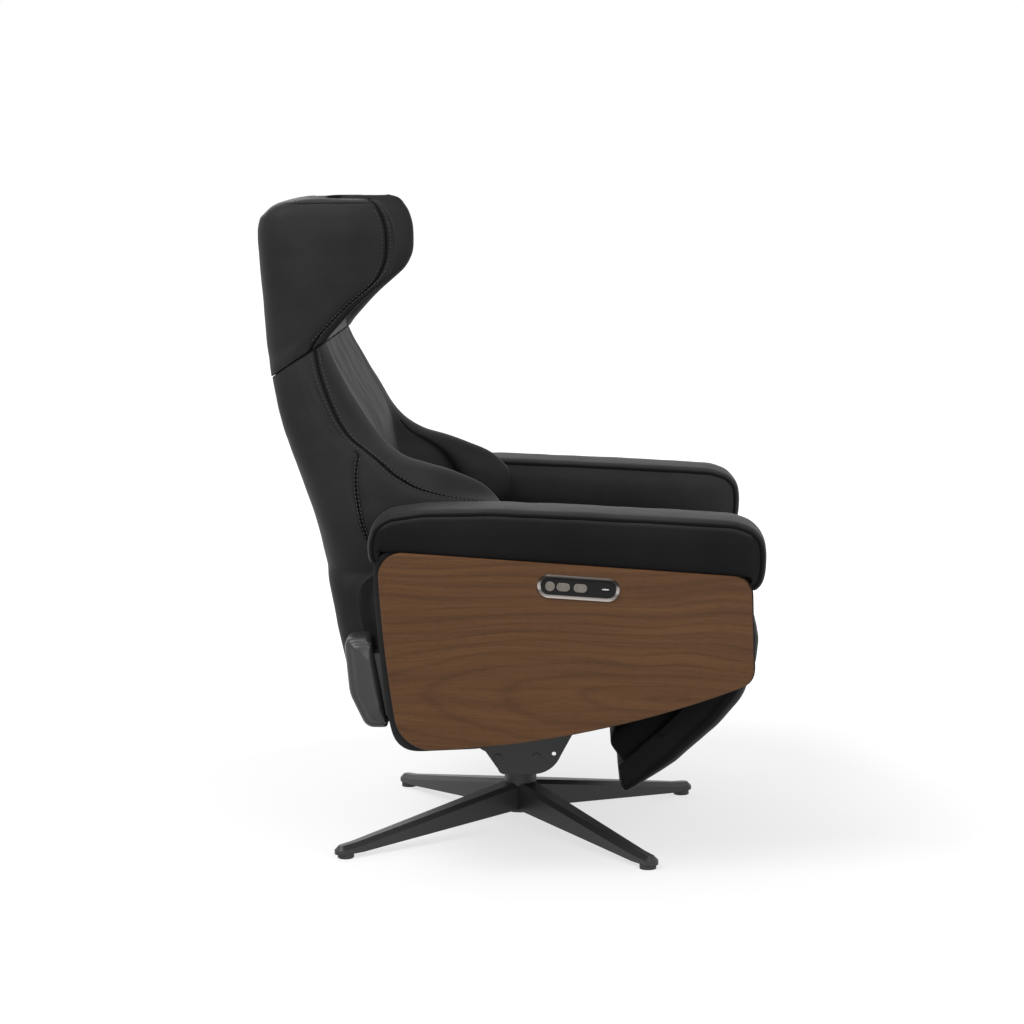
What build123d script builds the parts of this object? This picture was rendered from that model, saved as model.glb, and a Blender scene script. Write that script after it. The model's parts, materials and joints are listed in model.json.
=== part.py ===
from build123d import *
from math import cos, radians, sin
import os

# frame: floor at Z 0, swivel axis on Z, chair faces -Y, chair's left is +X, millimetres
half_width = 415
arm_inner = 290
panel_thick = 14
panel_inner = half_width - panel_thick - 4
side_gap = 2
fit = 0.05
soft_gap = 0.6

# base
leg_turn = 53.4
foot_radius = 361
foot_dia = 28
leg_ease = 7
foot_height = 8
hub_dia = 56
hub_bottom = 28
hub_top = 97
bush_wall = 3
spindle_dia = 30

# pedestal and frame
bracket_half = 75
bracket_plate = 6
bracket_bottom = 108
tube = 25
frame_bottom = 337
front_tube_y = -185
rear_tube_y = 75
rail_top = 370
strap_thick = 3

# pivots, as (Y, Z)
foot_pivot = (-371, 384)
foot_nose = 30
foot_lever = 100
back_pivot = (160, 330)
back_lever_len = 90
head_pivot = (316, 860)
hinge_pin_dia = 16
foot_pin_dia = 12

# reclining back
back_tilt = 14
back_origin = (205, 330)
board_thick = 12
back_half = arm_inner - 11
centre_half = back_half - 96
plate_in = back_half - 11
plate_out = plate_in + 8

# control strip on the right panel
control_at = (-105, 488)
control_tilt = 4.3
control_len = 131
control_high = 38
bezel_wall = 4
bezel_proud = 3.5
button_gap = 0.4

os.makedirs("parts", exist_ok=True)


def on_back(s, t):
    # s runs up the back board, t runs forward from its rear face
    a = radians(back_tilt)
    y = back_origin[0] + s * sin(a) - t * cos(a)
    z = back_origin[1] + s * cos(a) + t * sin(a)
    return (y, z)


def polar(centre, radius, angle):
    a = radians(angle)
    return (centre[0] + radius * cos(a), centre[1] + radius * sin(a))


def save(builder, name):
    builder.part.label = name
    export_step(builder.part, "parts/" + name + ".step")


def round_corner(sketch, at, radius):
    fillet(sketch.vertices().sort_by_distance((at[0], at[1], 0))[0], radius)


def side_outline(top, rear, low, front):
    # panel outline in side view, grown by the given amounts
    a = (213 + rear, 549 + top)
    b = (-378 - front, 502 + top)
    c = (-382 - front, 333 - low)
    d = (181 + rear, 226 - low)
    with BuildSketch() as sk:
        with BuildLine():
            Line(a, b)
            Line(b, c)
            ThreePointArc(c, (-97, 252 - low), d)
            ThreePointArc(d, (203 + rear, 387), a)
        make_face()
        round_corner(sk, a, 38 + top)
        round_corner(sk, b, 30 + top)
        round_corner(sk, c, 30 + front)
        round_corner(sk, d, 60)
    return sk


panel_face = side_outline(0, 0, 0, 0)
frame_face = side_outline(side_gap, 8, 4, 4)

# star base: hub and four tapered legs
with BuildPart() as star_base:
    with BuildSketch(Plane.XY.offset(hub_bottom)):
        Circle(hub_dia / 2)
    extrude(amount=hub_top - hub_bottom)
    for k in range(4):
        leg_plane = Plane(origin=(0, 0, 0), z_dir=(0, 0, 1), x_dir=Vector(1, 0, 0).rotate(Axis.Z, 90 * k - leg_turn))
        with BuildPart(mode=Mode.PRIVATE) as leg:
            with BuildSketch(leg_plane):
                with BuildLine():
                    Polyline((12, -21), (368, -13))
                    ThreePointArc((368, -13), (381, 0), (368, 13))
                    Polyline((368, 13), (12, 21), (12, -21))
                make_face()
            extrude(amount=120)
            with BuildSketch(Plane(origin=(0, 0, 0), x_dir=leg_plane.x_dir, z_dir=leg_plane.x_dir.cross(Vector(0, 0, 1)))):
                with BuildLine():
                    Polyline((12, 34), (335, foot_height), (385, foot_height), (385, foot_height + 13), (345, foot_height + 17))
                    ThreePointArc((345, foot_height + 17), (170, 55), (12, 82))
                    Line((12, 82), (12, 34))
                make_face()
            extrude(amount=60, both=True, mode=Mode.INTERSECT)
            tops = [f for f in leg.faces() if f.normal_at().Z > 0.5]
            rims = [e for f in tops for e in f.edges() if abs(e.tangent_at(0.5).dot(leg_plane.x_dir)) > 0.8]
            chamfer(rims, leg_ease)
        add(leg.part)
    with BuildSketch(Plane.XY.offset(hub_bottom)):
        Circle(spindle_dia / 2 + bush_wall)
    extrude(amount=hub_top - hub_bottom, mode=Mode.SUBTRACT)
save(star_base, "star_base")

# glides under the leg ends
with BuildPart() as foot_glides:
    with BuildSketch():
        with PolarLocations(foot_radius, 4, start_angle=-leg_turn):
            Circle(foot_dia / 2)
    extrude(amount=foot_height)
    chamfer(foot_glides.faces().sort_by(Axis.Z)[0].edges(), 1.5)
save(foot_glides, "foot_glides")

# bush in the hub, plug below it
with BuildPart() as swivel_bush:
    with BuildSketch(Plane.XY.offset(hub_bottom + 8)):
        Circle(spindle_dia / 2 + bush_wall)
        Circle(spindle_dia / 2 + fit, mode=Mode.SUBTRACT)
    extrude(amount=hub_top - hub_bottom - 8)
save(swivel_bush, "swivel_bush")

with BuildPart() as hub_plug:
    with BuildSketch(Plane.XY.offset(hub_bottom)):
        Circle(spindle_dia / 2 + bush_wall)
    extrude(amount=6)
save(hub_plug, "hub_plug")

# swivel spindle with its collar, bolted to the bracket
spindle_low = hub_bottom + 9
with BuildPart() as swivel_spindle:
    with BuildSketch(Plane.XY.offset(spindle_low)):
        Circle(spindle_dia / 2)
    extrude(amount=bracket_bottom - spindle_low)
    with BuildSketch(Plane.XY.offset(hub_top + 3)):
        Circle(26)
    extrude(amount=bracket_bottom - hub_top - 3)
save(swivel_spindle, "swivel_spindle")

with BuildPart() as thrust_washer:
    with BuildSketch(Plane.XY.offset(hub_top + 0.1)):
        Circle(25)
        Circle(spindle_dia / 2 + 0.3, mode=Mode.SUBTRACT)
    extrude(amount=2.9)
save(thrust_washer, "thrust_washer")

# pedestal bracket: bottom plate and two flared side plates
bolt_spots = [(36.5, 137), (-30, 138)]
sight_hole = (-60, 143)
with BuildPart() as pedestal_bracket:
    with BuildSketch(Plane.YZ.offset(-bracket_half)) as plate_sk:
        with BuildLine():
            Line((28, bracket_bottom), (-30, bracket_bottom))
            ThreePointArc((-30, bracket_bottom), (-56, 119), (-71, 139))
            Polyline((-71, 139), (-181, frame_bottom), (-215, frame_bottom))
            Polyline((-215, frame_bottom), (100, frame_bottom), (100, 215))
            ThreePointArc((100, 215), (86, 172), (58, 148))
            Line((58, 148), (37, 117))
            ThreePointArc((37, 117), (33, 110.5), (28, bracket_bottom))
        make_face()
        with Locations(*bolt_spots):
            Circle(4.2, mode=Mode.SUBTRACT)
        with Locations(sight_hole):
            Circle(3.8, mode=Mode.SUBTRACT)
    extrude(amount=bracket_plate)
    mirror(about=Plane.YZ)
    with BuildSketch(Plane.XY.offset(bracket_bottom)):
        with Locations((0, -1)):
            Rectangle(2 * bracket_half - 2, 56)
        with PolarLocations(20, 4, start_angle=45):
            Circle(3.2, mode=Mode.SUBTRACT)
    extrude(amount=bracket_plate)
save(pedestal_bracket, "pedestal_bracket")

# bolts: two pairs through the side plates, four into the spindle collar
with BuildPart() as bracket_bolts:
    for side in (-1, 1):
        with BuildSketch(Plane.YZ.offset(side * bracket_half)):
            with Locations(*bolt_spots):
                Circle(6.5)
        extrude(amount=side * 3)
        with BuildSketch(Plane.YZ.offset(side * (bracket_half - bracket_plate))):
            with Locations(*bolt_spots):
                Circle(4.1)
        extrude(amount=side * bracket_plate)
    with BuildSketch(Plane.XY.offset(bracket_bottom)):
        with PolarLocations(20, 4, start_angle=45):
            Circle(3.1)
    extrude(amount=bracket_plate)
    with BuildSketch(Plane.XY.offset(bracket_bottom + bracket_plate)):
        with PolarLocations(20, 4, start_angle=45):
            RegularPolygon(5.5, 6)
    extrude(amount=4)
save(bracket_bolts, "bracket_bolts")

# cross tubes and seat rails
for tube_name, tube_y in (("front_cross_tube", front_tube_y), ("rear_cross_tube", rear_tube_y)):
    with BuildPart() as cross_tube:
        with BuildSketch(Plane.YZ.offset(-arm_inner + tube)):
            with Locations((tube_y, frame_bottom + tube / 2)):
                Rectangle(tube, tube)
                Rectangle(tube - 4, tube - 4, mode=Mode.SUBTRACT)
        extrude(amount=2 * (arm_inner - tube))
    save(cross_tube, tube_name)

with BuildPart() as seat_rail_right:
    with BuildSketch(Plane.XZ.offset(-95)):
        with Locations((-arm_inner + tube / 2, rail_top - 20)):
            Rectangle(tube, 40)
            Rectangle(tube - 4, 36, mode=Mode.SUBTRACT)
    extrude(amount=425)
save(seat_rail_right, "seat_rail_right")
with BuildPart() as seat_rail_left:
    mirror(seat_rail_right.part, about=Plane.YZ)
save(seat_rail_left, "seat_rail_left")

# elastic straps across the rails
with BuildPart() as seat_straps:
    with BuildSketch(Plane.XY.offset(rail_top)):
        with Locations((0, -115)):
            with GridLocations(0, 66, 1, 6):
                Rectangle(2 * arm_inner - 8, 44)
    extrude(amount=strap_thick)
save(seat_straps, "seat_straps")

# seat cushion: crowned, with an overhanging front roll
seat_low = rail_top + strap_thick
seat_half = arm_inner - 6
seat_side = ((seat_half, 26), (seat_half - 22, 8), (seat_half - 164, 1))
seat_stations = [(-x, drop) for x, drop in seat_side] + [(0, 0)] + list(seat_side[::-1])
with BuildPart() as seat_cushion:
    for x, drop in seat_stations:
        with BuildSketch(Plane.YZ.offset(x)):
            with BuildLine():
                Polyline((-322, seat_low), (148, seat_low), (148, 430 - drop))
                ThreePointArc((148, 430 - drop), (138, 450 - drop), (115, 456 - drop))
                ThreePointArc((115, 456 - drop), (-100, 474 - drop), (-320, 482 - drop))
                ThreePointArc((-320, 482 - drop), (-357, 473 - drop * 0.9), (-372 + drop / 3, 450))
                ThreePointArc((-372 + drop / 3, 450), (-370 + drop / 3, 441), (-360 + drop / 3, 437))
                Polyline((-360 + drop / 3, 437), (-322, 437), (-322, seat_low))
            make_face()
    loft(ruled=False)
save(seat_cushion, "seat_cushion")

# arm frame: upholstered inner side, pin holes and control recess
control_plane = Plane(
    origin=(-panel_inner - panel_thick, control_at[0], control_at[1]),
    x_dir=(0, -cos(radians(control_tilt)), -sin(radians(control_tilt))),
    z_dir=(-1, 0, 0),
)
box_len = control_len - 2 * bezel_wall - 4
box_high = control_high - 2 * bezel_wall - 4
for side, frame_name in ((-1, "arm_frame_right"), (1, "arm_frame_left")):
    with BuildPart() as arm_frame:
        with BuildSketch(Plane.YZ.offset(side * arm_inner)):
            add(frame_face.sketch_local)
        extrude(amount=side * (panel_inner - arm_inner))
        with BuildSketch(Plane.YZ.offset(side * arm_inner)):
            with Locations(foot_pivot):
                Circle(foot_pin_dia / 2 + fit)
            with Locations(back_pivot):
                Circle(hinge_pin_dia / 2 + fit)
        extrude(amount=side * 40, mode=Mode.SUBTRACT)
        if side < 0:
            with BuildSketch(control_plane.offset(-panel_thick)):
                SlotOverall(box_len, box_high)
            extrude(amount=-30, mode=Mode.SUBTRACT)
    save(arm_frame, frame_name)

# veneered side panels with eased edges, the right one cut for the control
for side, panel_name in ((-1, "side_panel_right"), (1, "side_panel_left")):
    with BuildPart() as side_panel:
        with BuildSketch(Plane.YZ.offset(side * panel_inner)):
            add(panel_face.sketch_local)
        extrude(amount=side * panel_thick)
        outer = side_panel.faces().sort_by(Axis.X)[0 if side < 0 else -1]
        chamfer(outer.edges(), 2)
        if side < 0:
            with BuildSketch(control_plane):
                SlotOverall(control_len - 2 * bezel_wall, control_high - 2 * bezel_wall)
            extrude(amount=-panel_thick, mode=Mode.SUBTRACT)
    save(side_panel, panel_name)

# arm pads: cap over the frame and panel, curled down at both ends
pad_rear_low = (228, 531)
pad_rear_top = (226, 613)
pad_front_top = (-402, 594)
pad_front_low = (-399, 479)
with BuildPart() as arm_pad_right:
    with BuildSketch(Plane.YZ.offset(-arm_inner + 2)) as pad_sk:
        with BuildLine():
            Line(pad_rear_low, pad_rear_top)
            ThreePointArc(pad_rear_top, (-100, 606), pad_front_top)
            Polyline(pad_front_top, pad_front_low, pad_rear_low)
        make_face()
        add(frame_face.sketch_local, mode=Mode.SUBTRACT)
    extrude(amount=-half_width + arm_inner - 2)
    pad_edges = arm_pad_right.edges().filter_by(Axis.X)
    fillet(pad_edges.sort_by_distance((-350, pad_rear_top[0], pad_rear_top[1]))[0], 58)
    pad_edges = arm_pad_right.edges().filter_by(Axis.X)
    fillet(pad_edges.sort_by_distance((-350, pad_front_top[0], pad_front_top[1]))[0], 36)
    crest = arm_pad_right.edges().filter_by_position(Axis.Z, 560, 640)
    fillet([e for e in crest if abs(e.center().X + half_width) < 0.5 or abs(e.center().X + arm_inner - 2) < 0.5], 15)
save(arm_pad_right, "arm_pad_right")
with BuildPart() as arm_pad_left:
    mirror(arm_pad_right.part, about=Plane.YZ)
save(arm_pad_left, "arm_pad_left")

# control strip: bezel, plate, housing, port
with BuildPart() as control_bezel:
    with BuildSketch(control_plane):
        SlotOverall(control_len, control_high)
        SlotOverall(control_len - 2 * bezel_wall - 4, control_high - 2 * bezel_wall - 4, mode=Mode.SUBTRACT)
    extrude(amount=bezel_proud)
    chamfer(control_bezel.faces().sort_by(Axis.X)[0].edges(), 1)
save(control_bezel, "control_bezel")

# rockers turn on small trunnions just under the plate's face
trunnion = 1.2
trunnion_deep = 1.8
trunnion_half = 8.6
round_x = -45
oval_xs = (-24, 3)
port_x = 43
with BuildPart() as control_plate:
    with BuildSketch(control_plane.offset(-panel_thick)):
        SlotOverall(control_len - 2 * bezel_wall, control_high - 2 * bezel_wall)
        with Locations((round_x, 0)):
            Circle(8 + button_gap, mode=Mode.SUBTRACT)
        with Locations(*[(x, 0) for x in oval_xs]):
            SlotOverall(22 + 2 * button_gap, 14 + 2 * button_gap, mode=Mode.SUBTRACT)
        with Locations((port_x, 0)):
            Rectangle(14, 6, mode=Mode.SUBTRACT)
    extrude(amount=panel_thick)
    for x in oval_xs:
        axle_plane = Plane(
            origin=control_plane.from_local_coords((x, -trunnion_half - fit, -trunnion_deep)),
            x_dir=control_plane.x_dir,
            z_dir=control_plane.y_dir,
        )
        with BuildSketch(axle_plane):
            Circle(trunnion + fit)
        extrude(amount=2 * (trunnion_half + fit), mode=Mode.SUBTRACT)
save(control_plate, "control_plate")

with BuildPart() as control_housing:
    with BuildSketch(control_plane.offset(-panel_thick - 30)):
        SlotOverall(box_len, box_high)
    extrude(amount=30)
    with BuildSketch(control_plane.offset(-panel_thick)):
        with Locations((round_x, 0), (oval_xs[0], 0), (oval_xs[1], 0)):
            Rectangle(22, 20)
    extrude(amount=-6, mode=Mode.SUBTRACT)
save(control_housing, "control_housing")

with BuildPart() as usb_port:
    with BuildSketch(control_plane.offset(-panel_thick)):
        with Locations((port_x, 0)):
            Rectangle(14, 6)
    extrude(amount=3)
    with BuildSketch(control_plane.offset(-panel_thick)):
        with Locations((port_x, 0.1)):
            Rectangle(10, 1.6)
    extrude(amount=panel_thick - 1.5)
save(usb_port, "usb_port")

# one push button and two rockers, on stems that reach the housing
press_travel = 1.2
with BuildPart() as home_button:
    with BuildSketch(control_plane.offset(-panel_thick - 6 + press_travel + 0.3)):
        with Locations((round_x, 0)):
            Circle(8)
    extrude(amount=panel_thick + 6 - press_travel + 1.2)
    fillet(home_button.faces().sort_by(Axis.X)[0].edges(), 0.8)
    with BuildSketch(control_plane.offset(-panel_thick - fit)):
        with Locations((round_x, 0)):
            Circle(9.4)
    extrude(amount=-2)
save(home_button, "home_button")


for rocker_x, rocker_name in zip(oval_xs, ("recline_rocker", "footrest_rocker")):
    with BuildPart() as rocker:
        with BuildSketch(control_plane.offset(-3)):
            with Locations((rocker_x, 0)):
                SlotOverall(22, 14)
        extrude(amount=4.5)
        fillet(rocker.faces().sort_by(Axis.X)[0].edges(), 0.8)
        with BuildSketch(control_plane.offset(-panel_thick - 5.5)):
            with Locations((rocker_x, 0)):
                Rectangle(6, 8)
        extrude(amount=panel_thick + 3)
        axle_plane = Plane(
            origin=control_plane.from_local_coords((rocker_x, -trunnion_half, -trunnion_deep)),
            x_dir=control_plane.x_dir,
            z_dir=control_plane.y_dir,
        )
        with BuildSketch(axle_plane):
            Circle(trunnion)
        extrude(amount=2 * trunnion_half)
    save(rocker, rocker_name)

# battery pack on a dock behind the right arm
pack_in = -arm_inner - 22
pack_wide = 66
pack_corners = (((202, 256), 9), ((228, 405), 16), ((272, 405), 22), ((264, 312), 60), ((238, 256), 22))
pack_low = pack_corners[0][0]
pack_high = pack_corners[1][0]
dock_span = (0.14, 0.82)
dock_ends = [
    (pack_low[0] + k * (pack_high[0] - pack_low[0]), pack_low[1] + k * (pack_high[1] - pack_low[1])) for k in dock_span
]
with BuildPart() as battery_dock:
    with BuildSketch(Plane.YZ.offset(pack_in - 6)):
        with BuildLine():
            Polyline((180, dock_ends[0][1]), dock_ends[0], dock_ends[1], (180, dock_ends[1][1]))
            Line((180, dock_ends[1][1]), (180, dock_ends[0][1]))
        make_face()
        add(frame_face.sketch_local, mode=Mode.SUBTRACT)
    extrude(amount=-pack_wide + 12)
save(battery_dock, "battery_dock")

with BuildPart() as battery_pack:
    with BuildSketch(Plane.YZ.offset(pack_in)) as pack_sk:
        Polygon(*[corner for corner, radius in pack_corners], align=None)
        for corner, radius in pack_corners:
            round_corner(pack_sk, corner, radius)
    extrude(amount=-pack_wide)
    for end in (0, -1):
        chamfer(battery_pack.faces().sort_by(Axis.X)[end].edges(), 3)
save(battery_pack, "battery_pack")

# hinge pins fixed in the arm frames
with BuildPart() as back_pins:
    for side in (-1, 1):
        with BuildSketch(Plane.YZ.offset(side * (plate_in - 4))):
            with Locations(back_pivot):
                Circle(hinge_pin_dia / 2)
        extrude(amount=side * (arm_inner + 40 - plate_in + 4))
save(back_pins, "back_pins")
with BuildPart() as footrest_pins:
    for side in (-1, 1):
        with BuildSketch(Plane.YZ.offset(side * plate_in)):
            with Locations(foot_pivot):
                Circle(foot_pin_dia / 2)
        extrude(amount=side * (arm_inner + 40 - plate_in))
save(footrest_pins, "footrest_pins")

# actuators: tray, housings with motors, sliding rods that end in slotted yokes
back_rest_dir = -97.5
back_pin_at = polar(back_pivot, back_lever_len, back_rest_dir)
foot_rest_dir = -30
foot_pin_at = polar(foot_pivot, foot_lever, foot_rest_dir)
recline_axis_z = 252
footrest_axis_z = 309
rod_dia = 16
lever_pin = 12

with BuildPart() as actuator_tray:
    with BuildSketch(Plane.XY.offset(recline_axis_z - 34)):
        with Locations((0, -35)):
            Rectangle(2 * (bracket_half - bracket_plate), 130)
    extrude(amount=6)
save(actuator_tray, "actuator_tray")

with BuildPart() as recline_actuator:
    with BuildSketch(Plane.XY.offset(recline_axis_z - 28)):
        with Locations((0, -15)):
            RectangleRounded(52, 150, 6)
    extrude(amount=54)
    with BuildSketch(Plane.XZ.offset(30)):
        with Locations((-46, recline_axis_z - 6)):
            Circle(21)
    extrude(amount=60)
    with BuildSketch(Plane.XZ.offset(-60)):
        with Locations((0, recline_axis_z)):
            Circle(rod_dia / 2 + fit)
    extrude(amount=140, mode=Mode.SUBTRACT)
save(recline_actuator, "recline_actuator")

with BuildPart() as footrest_actuator:
    with BuildSketch(Plane.XY.offset(frame_bottom)):
        with Locations((0, -132)):
            RectangleRounded(46, 214, 6)
    extrude(amount=-(frame_bottom - footrest_axis_z + 21))
    with BuildSketch(Plane.XZ.offset(60)):
        with Locations((40, footrest_axis_z + 4)):
            Circle(21)
    extrude(amount=70)
    with BuildSketch(Plane.XZ.offset(239)):
        with Locations((0, footrest_axis_z)):
            Circle(rod_dia / 2 + fit)
    extrude(amount=-204, mode=Mode.SUBTRACT)
save(footrest_actuator, "footrest_actuator")

# yoke: two cheeks with an upright slot, on the rod's end
yoke_specs = (
    ("recline_rod", back_pin_at, recline_axis_z, 20, 40, -1, 140),
    ("footrest_rod", foot_pin_at, footrest_axis_z, 28, 64, 1, 205),
)
for rod_name, pin_at, axis_z, slot_wide, slot_high, toward, rod_len in yoke_specs:
    with BuildPart() as rod:
        with BuildSketch(Plane.YZ.offset(-14)):
            with Locations((pin_at[0], axis_z)):
                Rectangle(slot_wide + 16, slot_high + 16)
                SlotOverall(slot_high, slot_wide, rotation=90, mode=Mode.SUBTRACT)
            with Locations((pin_at[0] + toward * (slot_wide / 2 + 16), axis_z)):
                Rectangle(18, 24)
        extrude(amount=28)
        with BuildSketch(Plane.YZ.offset(-8)):
            with Locations((pin_at[0] - toward * 4, axis_z)):
                Rectangle(slot_wide + 24, slot_high + 20)
        extrude(amount=16, mode=Mode.SUBTRACT)
        with BuildSketch(Plane.XZ.offset(-pin_at[0] - toward * (slot_wide / 2 + 16))):
            with Locations((0, axis_z)):
                Circle(rod_dia / 2)
        extrude(amount=-toward * rod_len)
    save(rod, rod_name)

# back: board, hinge plates and lever
board_low = -20
board_wide_top = 115
board_top = 512
neck = plate_in - 33
with BuildPart() as back_board:
    board_plane = Plane(
        origin=(0, back_origin[0], back_origin[1]),
        x_dir=(1, 0, 0),
        z_dir=(0, -cos(radians(back_tilt)), sin(radians(back_tilt))),
    )
    with BuildSketch(board_plane):
        with BuildLine():
            Polyline((-plate_in, board_low), (plate_in, board_low), (plate_in, board_wide_top))
            Polyline((plate_in, board_wide_top), (neck, 160), (neck - 10, board_top), (-neck + 10, board_top))
            Polyline((-neck + 10, board_top), (-neck, 160), (-plate_in, board_wide_top), (-plate_in, board_low))
        make_face()
    extrude(amount=board_thick)
save(back_board, "back_board")

with BuildPart() as back_hinge_plates:
    for side in (-1, 1):
        with BuildSketch(Plane.YZ.offset(side * plate_in)) as hinge_sk:
            with BuildLine():
                Polyline(on_back(board_low, 1), on_back(board_wide_top, 1), on_back(board_wide_top, 30))
                Polyline(on_back(board_wide_top, 30), polar(back_pivot, 24, 110), polar(back_pivot, 24, 200))
                Polyline(polar(back_pivot, 24, 200), polar(back_pivot, 26, 270), on_back(board_low, 1))
            make_face()
            with Locations(back_pivot):
                Circle(hinge_pin_dia / 2 + fit, mode=Mode.SUBTRACT)
        extrude(amount=side * (plate_out - plate_in))
save(back_hinge_plates, "back_hinge_plates")

with BuildPart() as back_lever:
    with BuildSketch(Plane.YZ.offset(-6)):
        with BuildLine():
            Polyline(on_back(70, board_thick), on_back(board_low, board_thick))
            Polyline(on_back(board_low, board_thick), polar(back_pin_at, 12, -30), polar(back_pin_at, 13, -90))
            Polyline(polar(back_pin_at, 13, -90), polar(back_pin_at, 12, 170), on_back(70, board_thick))
        make_face()
    extrude(amount=12)
    with BuildSketch(Plane.YZ.offset(-19)):
        with Locations(back_pin_at):
            Circle(lever_pin / 2)
    extrude(amount=38)
save(back_lever, "back_lever")

# seam plane between back and headrest runs from the head pivot down to the rear
seam_rear = (399, 808)
seam_dir = (seam_rear[0] - head_pivot[0], seam_rear[1] - head_pivot[1])


def on_seam(k, lift):
    # k 0 at the pivot and 1 at the rear surface, lift square to the seam
    n = (seam_dir[0] ** 2 + seam_dir[1] ** 2) ** 0.5
    y = head_pivot[0] + k * seam_dir[0] - lift * seam_dir[1] / n
    z = head_pivot[1] + k * seam_dir[1] + lift * seam_dir[0] / n
    return (y, z)


# rear shell of the back, rounded at its sides
shell_half = ((back_half, 30, 22), (back_half - 17, 10, 6), (back_half - 79, 1, 0))
shell_stations = [(-x, draw, lift) for x, draw, lift in shell_half] + [(0, -6, 0)] + list(shell_half[::-1])
with BuildPart() as back_shell:
    for x, draw, lift in shell_stations:
        with BuildSketch(Plane.YZ.offset(x)):
            with BuildLine():
                t = board_thick
                Line(on_back(-80 + lift, t), on_back(508 - lift, t))
                Line(on_back(508 - lift, t), (392 - draw, 809 - lift))
                ThreePointArc((392 - draw, 809 - lift), (335 - draw, 603), (292 - draw, 402))
                ThreePointArc((292 - draw, 402), (282 - draw, 352), (264 - draw, 302 + lift))
                ThreePointArc((264 - draw, 302 + lift), (234 - draw / 2, 256 + lift), on_back(-80 + lift, t))
            make_face()
    loft(ruled=False)
    add(back_board.part, mode=Mode.SUBTRACT)
    for side in (-1, 1):
        with BuildSketch(Plane.YZ.offset(side * plate_in)):
            with BuildLine():
                Polyline(on_back(-100, 0), on_back(board_wide_top + 2, 0), on_back(board_wide_top + 2, 40))
                Polyline(on_back(board_wide_top + 2, 40), on_back(-100, 40), on_back(-100, 0))
            make_face()
        extrude(amount=side * 20, mode=Mode.SUBTRACT)
save(back_shell, "back_shell")

# centre cushion of the back, crowned between the bolsters
with BuildPart() as back_cushion:
    for x, draw in ((-centre_half, 14), (-centre_half + 33, 4), (0, 0), (centre_half - 33, 4), (centre_half, 14)):
        with BuildSketch(Plane.YZ.offset(x)):
            with BuildLine():
                t = board_thick
                Line(on_back(118, t), on_back(508, t))
                Line(on_back(508, t), (315 + draw / 3, 846))
                ThreePointArc((315 + draw / 3, 846), (259 + draw, 740), (213 + draw, 630))
                ThreePointArc((213 + draw, 630), (182 + draw, 555), (171 + draw, 490))
                ThreePointArc((171 + draw, 490), (174 + draw, 466), on_back(118, t))
            make_face()
    loft(ruled=False)
save(back_cushion, "back_cushion")

# side bolsters: full at the middle, drawn in to the seam on the outer side
bolster_stations = (
    (-centre_half - soft_gap, 16, 16),
    (-centre_half - 22, 3, 4),
    (-centre_half - 52, 0, 0),
    (-back_half + 17, 8, 6),
    (-back_half + 1, 26, 20),
)
with BuildPart() as bolster_right:
    for x, draw, lift in bolster_stations:
        with BuildSketch(Plane.YZ.offset(x)):
            with BuildLine():
                t = board_thick + soft_gap
                Line(on_back(150, t), on_back(526 - lift / 2, t))
                Line(on_back(526 - lift / 2, t), (307 + draw / 3, 856 - lift))
                ThreePointArc((307 + draw / 3, 856 - lift), (262 + draw, 784), (199 + draw, 697 - lift))
                ThreePointArc((199 + draw, 697 - lift), (120 + draw, 662 - lift), (44 + draw, 629 - lift))
                ThreePointArc((44 + draw, 629 - lift), (18 + draw, 585), (38 + draw, 540 + lift / 2))
                ThreePointArc((38 + draw, 540 + lift / 2), (120 + draw / 2, 492 + lift / 2), on_back(150, t))
            make_face()
    loft(ruled=False)
save(bolster_right, "bolster_right")
with BuildPart() as bolster_left:
    mirror(bolster_right.part, about=Plane.YZ)
save(bolster_left, "bolster_left")

# headrest hinge: two leaves along the seam and a pin
leaf = 4
knuckle = 7
head_pin = 8
with BuildPart() as hinge_leaf_lower:
    with BuildSketch(Plane.YZ.offset(-55)):
        with BuildLine():
            Polyline(on_seam(0, -0.5), on_seam(0.5, -0.5), on_seam(0.5, -leaf), on_back(512, 4), on_back(512, 10))
            Polyline(on_back(512, 10), on_seam(0, -leaf - 2), on_seam(0, -0.5))
        make_face()
        with Locations(head_pivot):
            Circle(knuckle)
            Circle(head_pin / 2 + fit, mode=Mode.SUBTRACT)
    extrude(amount=110)
save(hinge_leaf_lower, "hinge_leaf_lower")
with BuildPart() as hinge_pin:
    with BuildSketch(Plane.YZ.offset(-165)):
        with Locations(head_pivot):
            Circle(head_pin / 2)
    extrude(amount=330)
save(hinge_pin, "hinge_pin")

head_board_y = 352
with BuildPart() as hinge_leaf_upper:
    for side in (-1, 1):
        with BuildSketch(Plane.YZ.offset(side * 57)):
            with BuildLine():
                Polyline(on_seam(0, 0.6), on_seam(0.55, 0.6), on_seam(0.55, leaf + 0.6), on_seam(0, leaf + 0.6))
                Line(on_seam(0, leaf + 0.6), on_seam(0, 0.6))
            make_face()
            with Locations(head_pivot):
                Circle(knuckle)
                Circle(head_pin / 2 + fit, mode=Mode.SUBTRACT)
        extrude(amount=side * 105)
save(hinge_leaf_upper, "hinge_leaf_upper")

head_board_low = 850
with BuildPart() as headrest_board:
    with BuildSketch(Plane.XZ.offset(-head_board_y)):
        with Locations((0, (head_board_low + 1050) / 2)):
            RectangleRounded(330, 1050 - head_board_low, 20)
    extrude(amount=-10)
    with BuildSketch(Plane.YZ.offset(-165)):
        with BuildLine():
            Polyline(on_seam(0.3, leaf + 0.6), on_seam(0.55, leaf + 0.6), (362, 860), (352, 860))
            Line((352, 860), on_seam(0.3, leaf + 0.6))
        make_face()
    extrude(amount=330)
save(headrest_board, "headrest_board")

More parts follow.
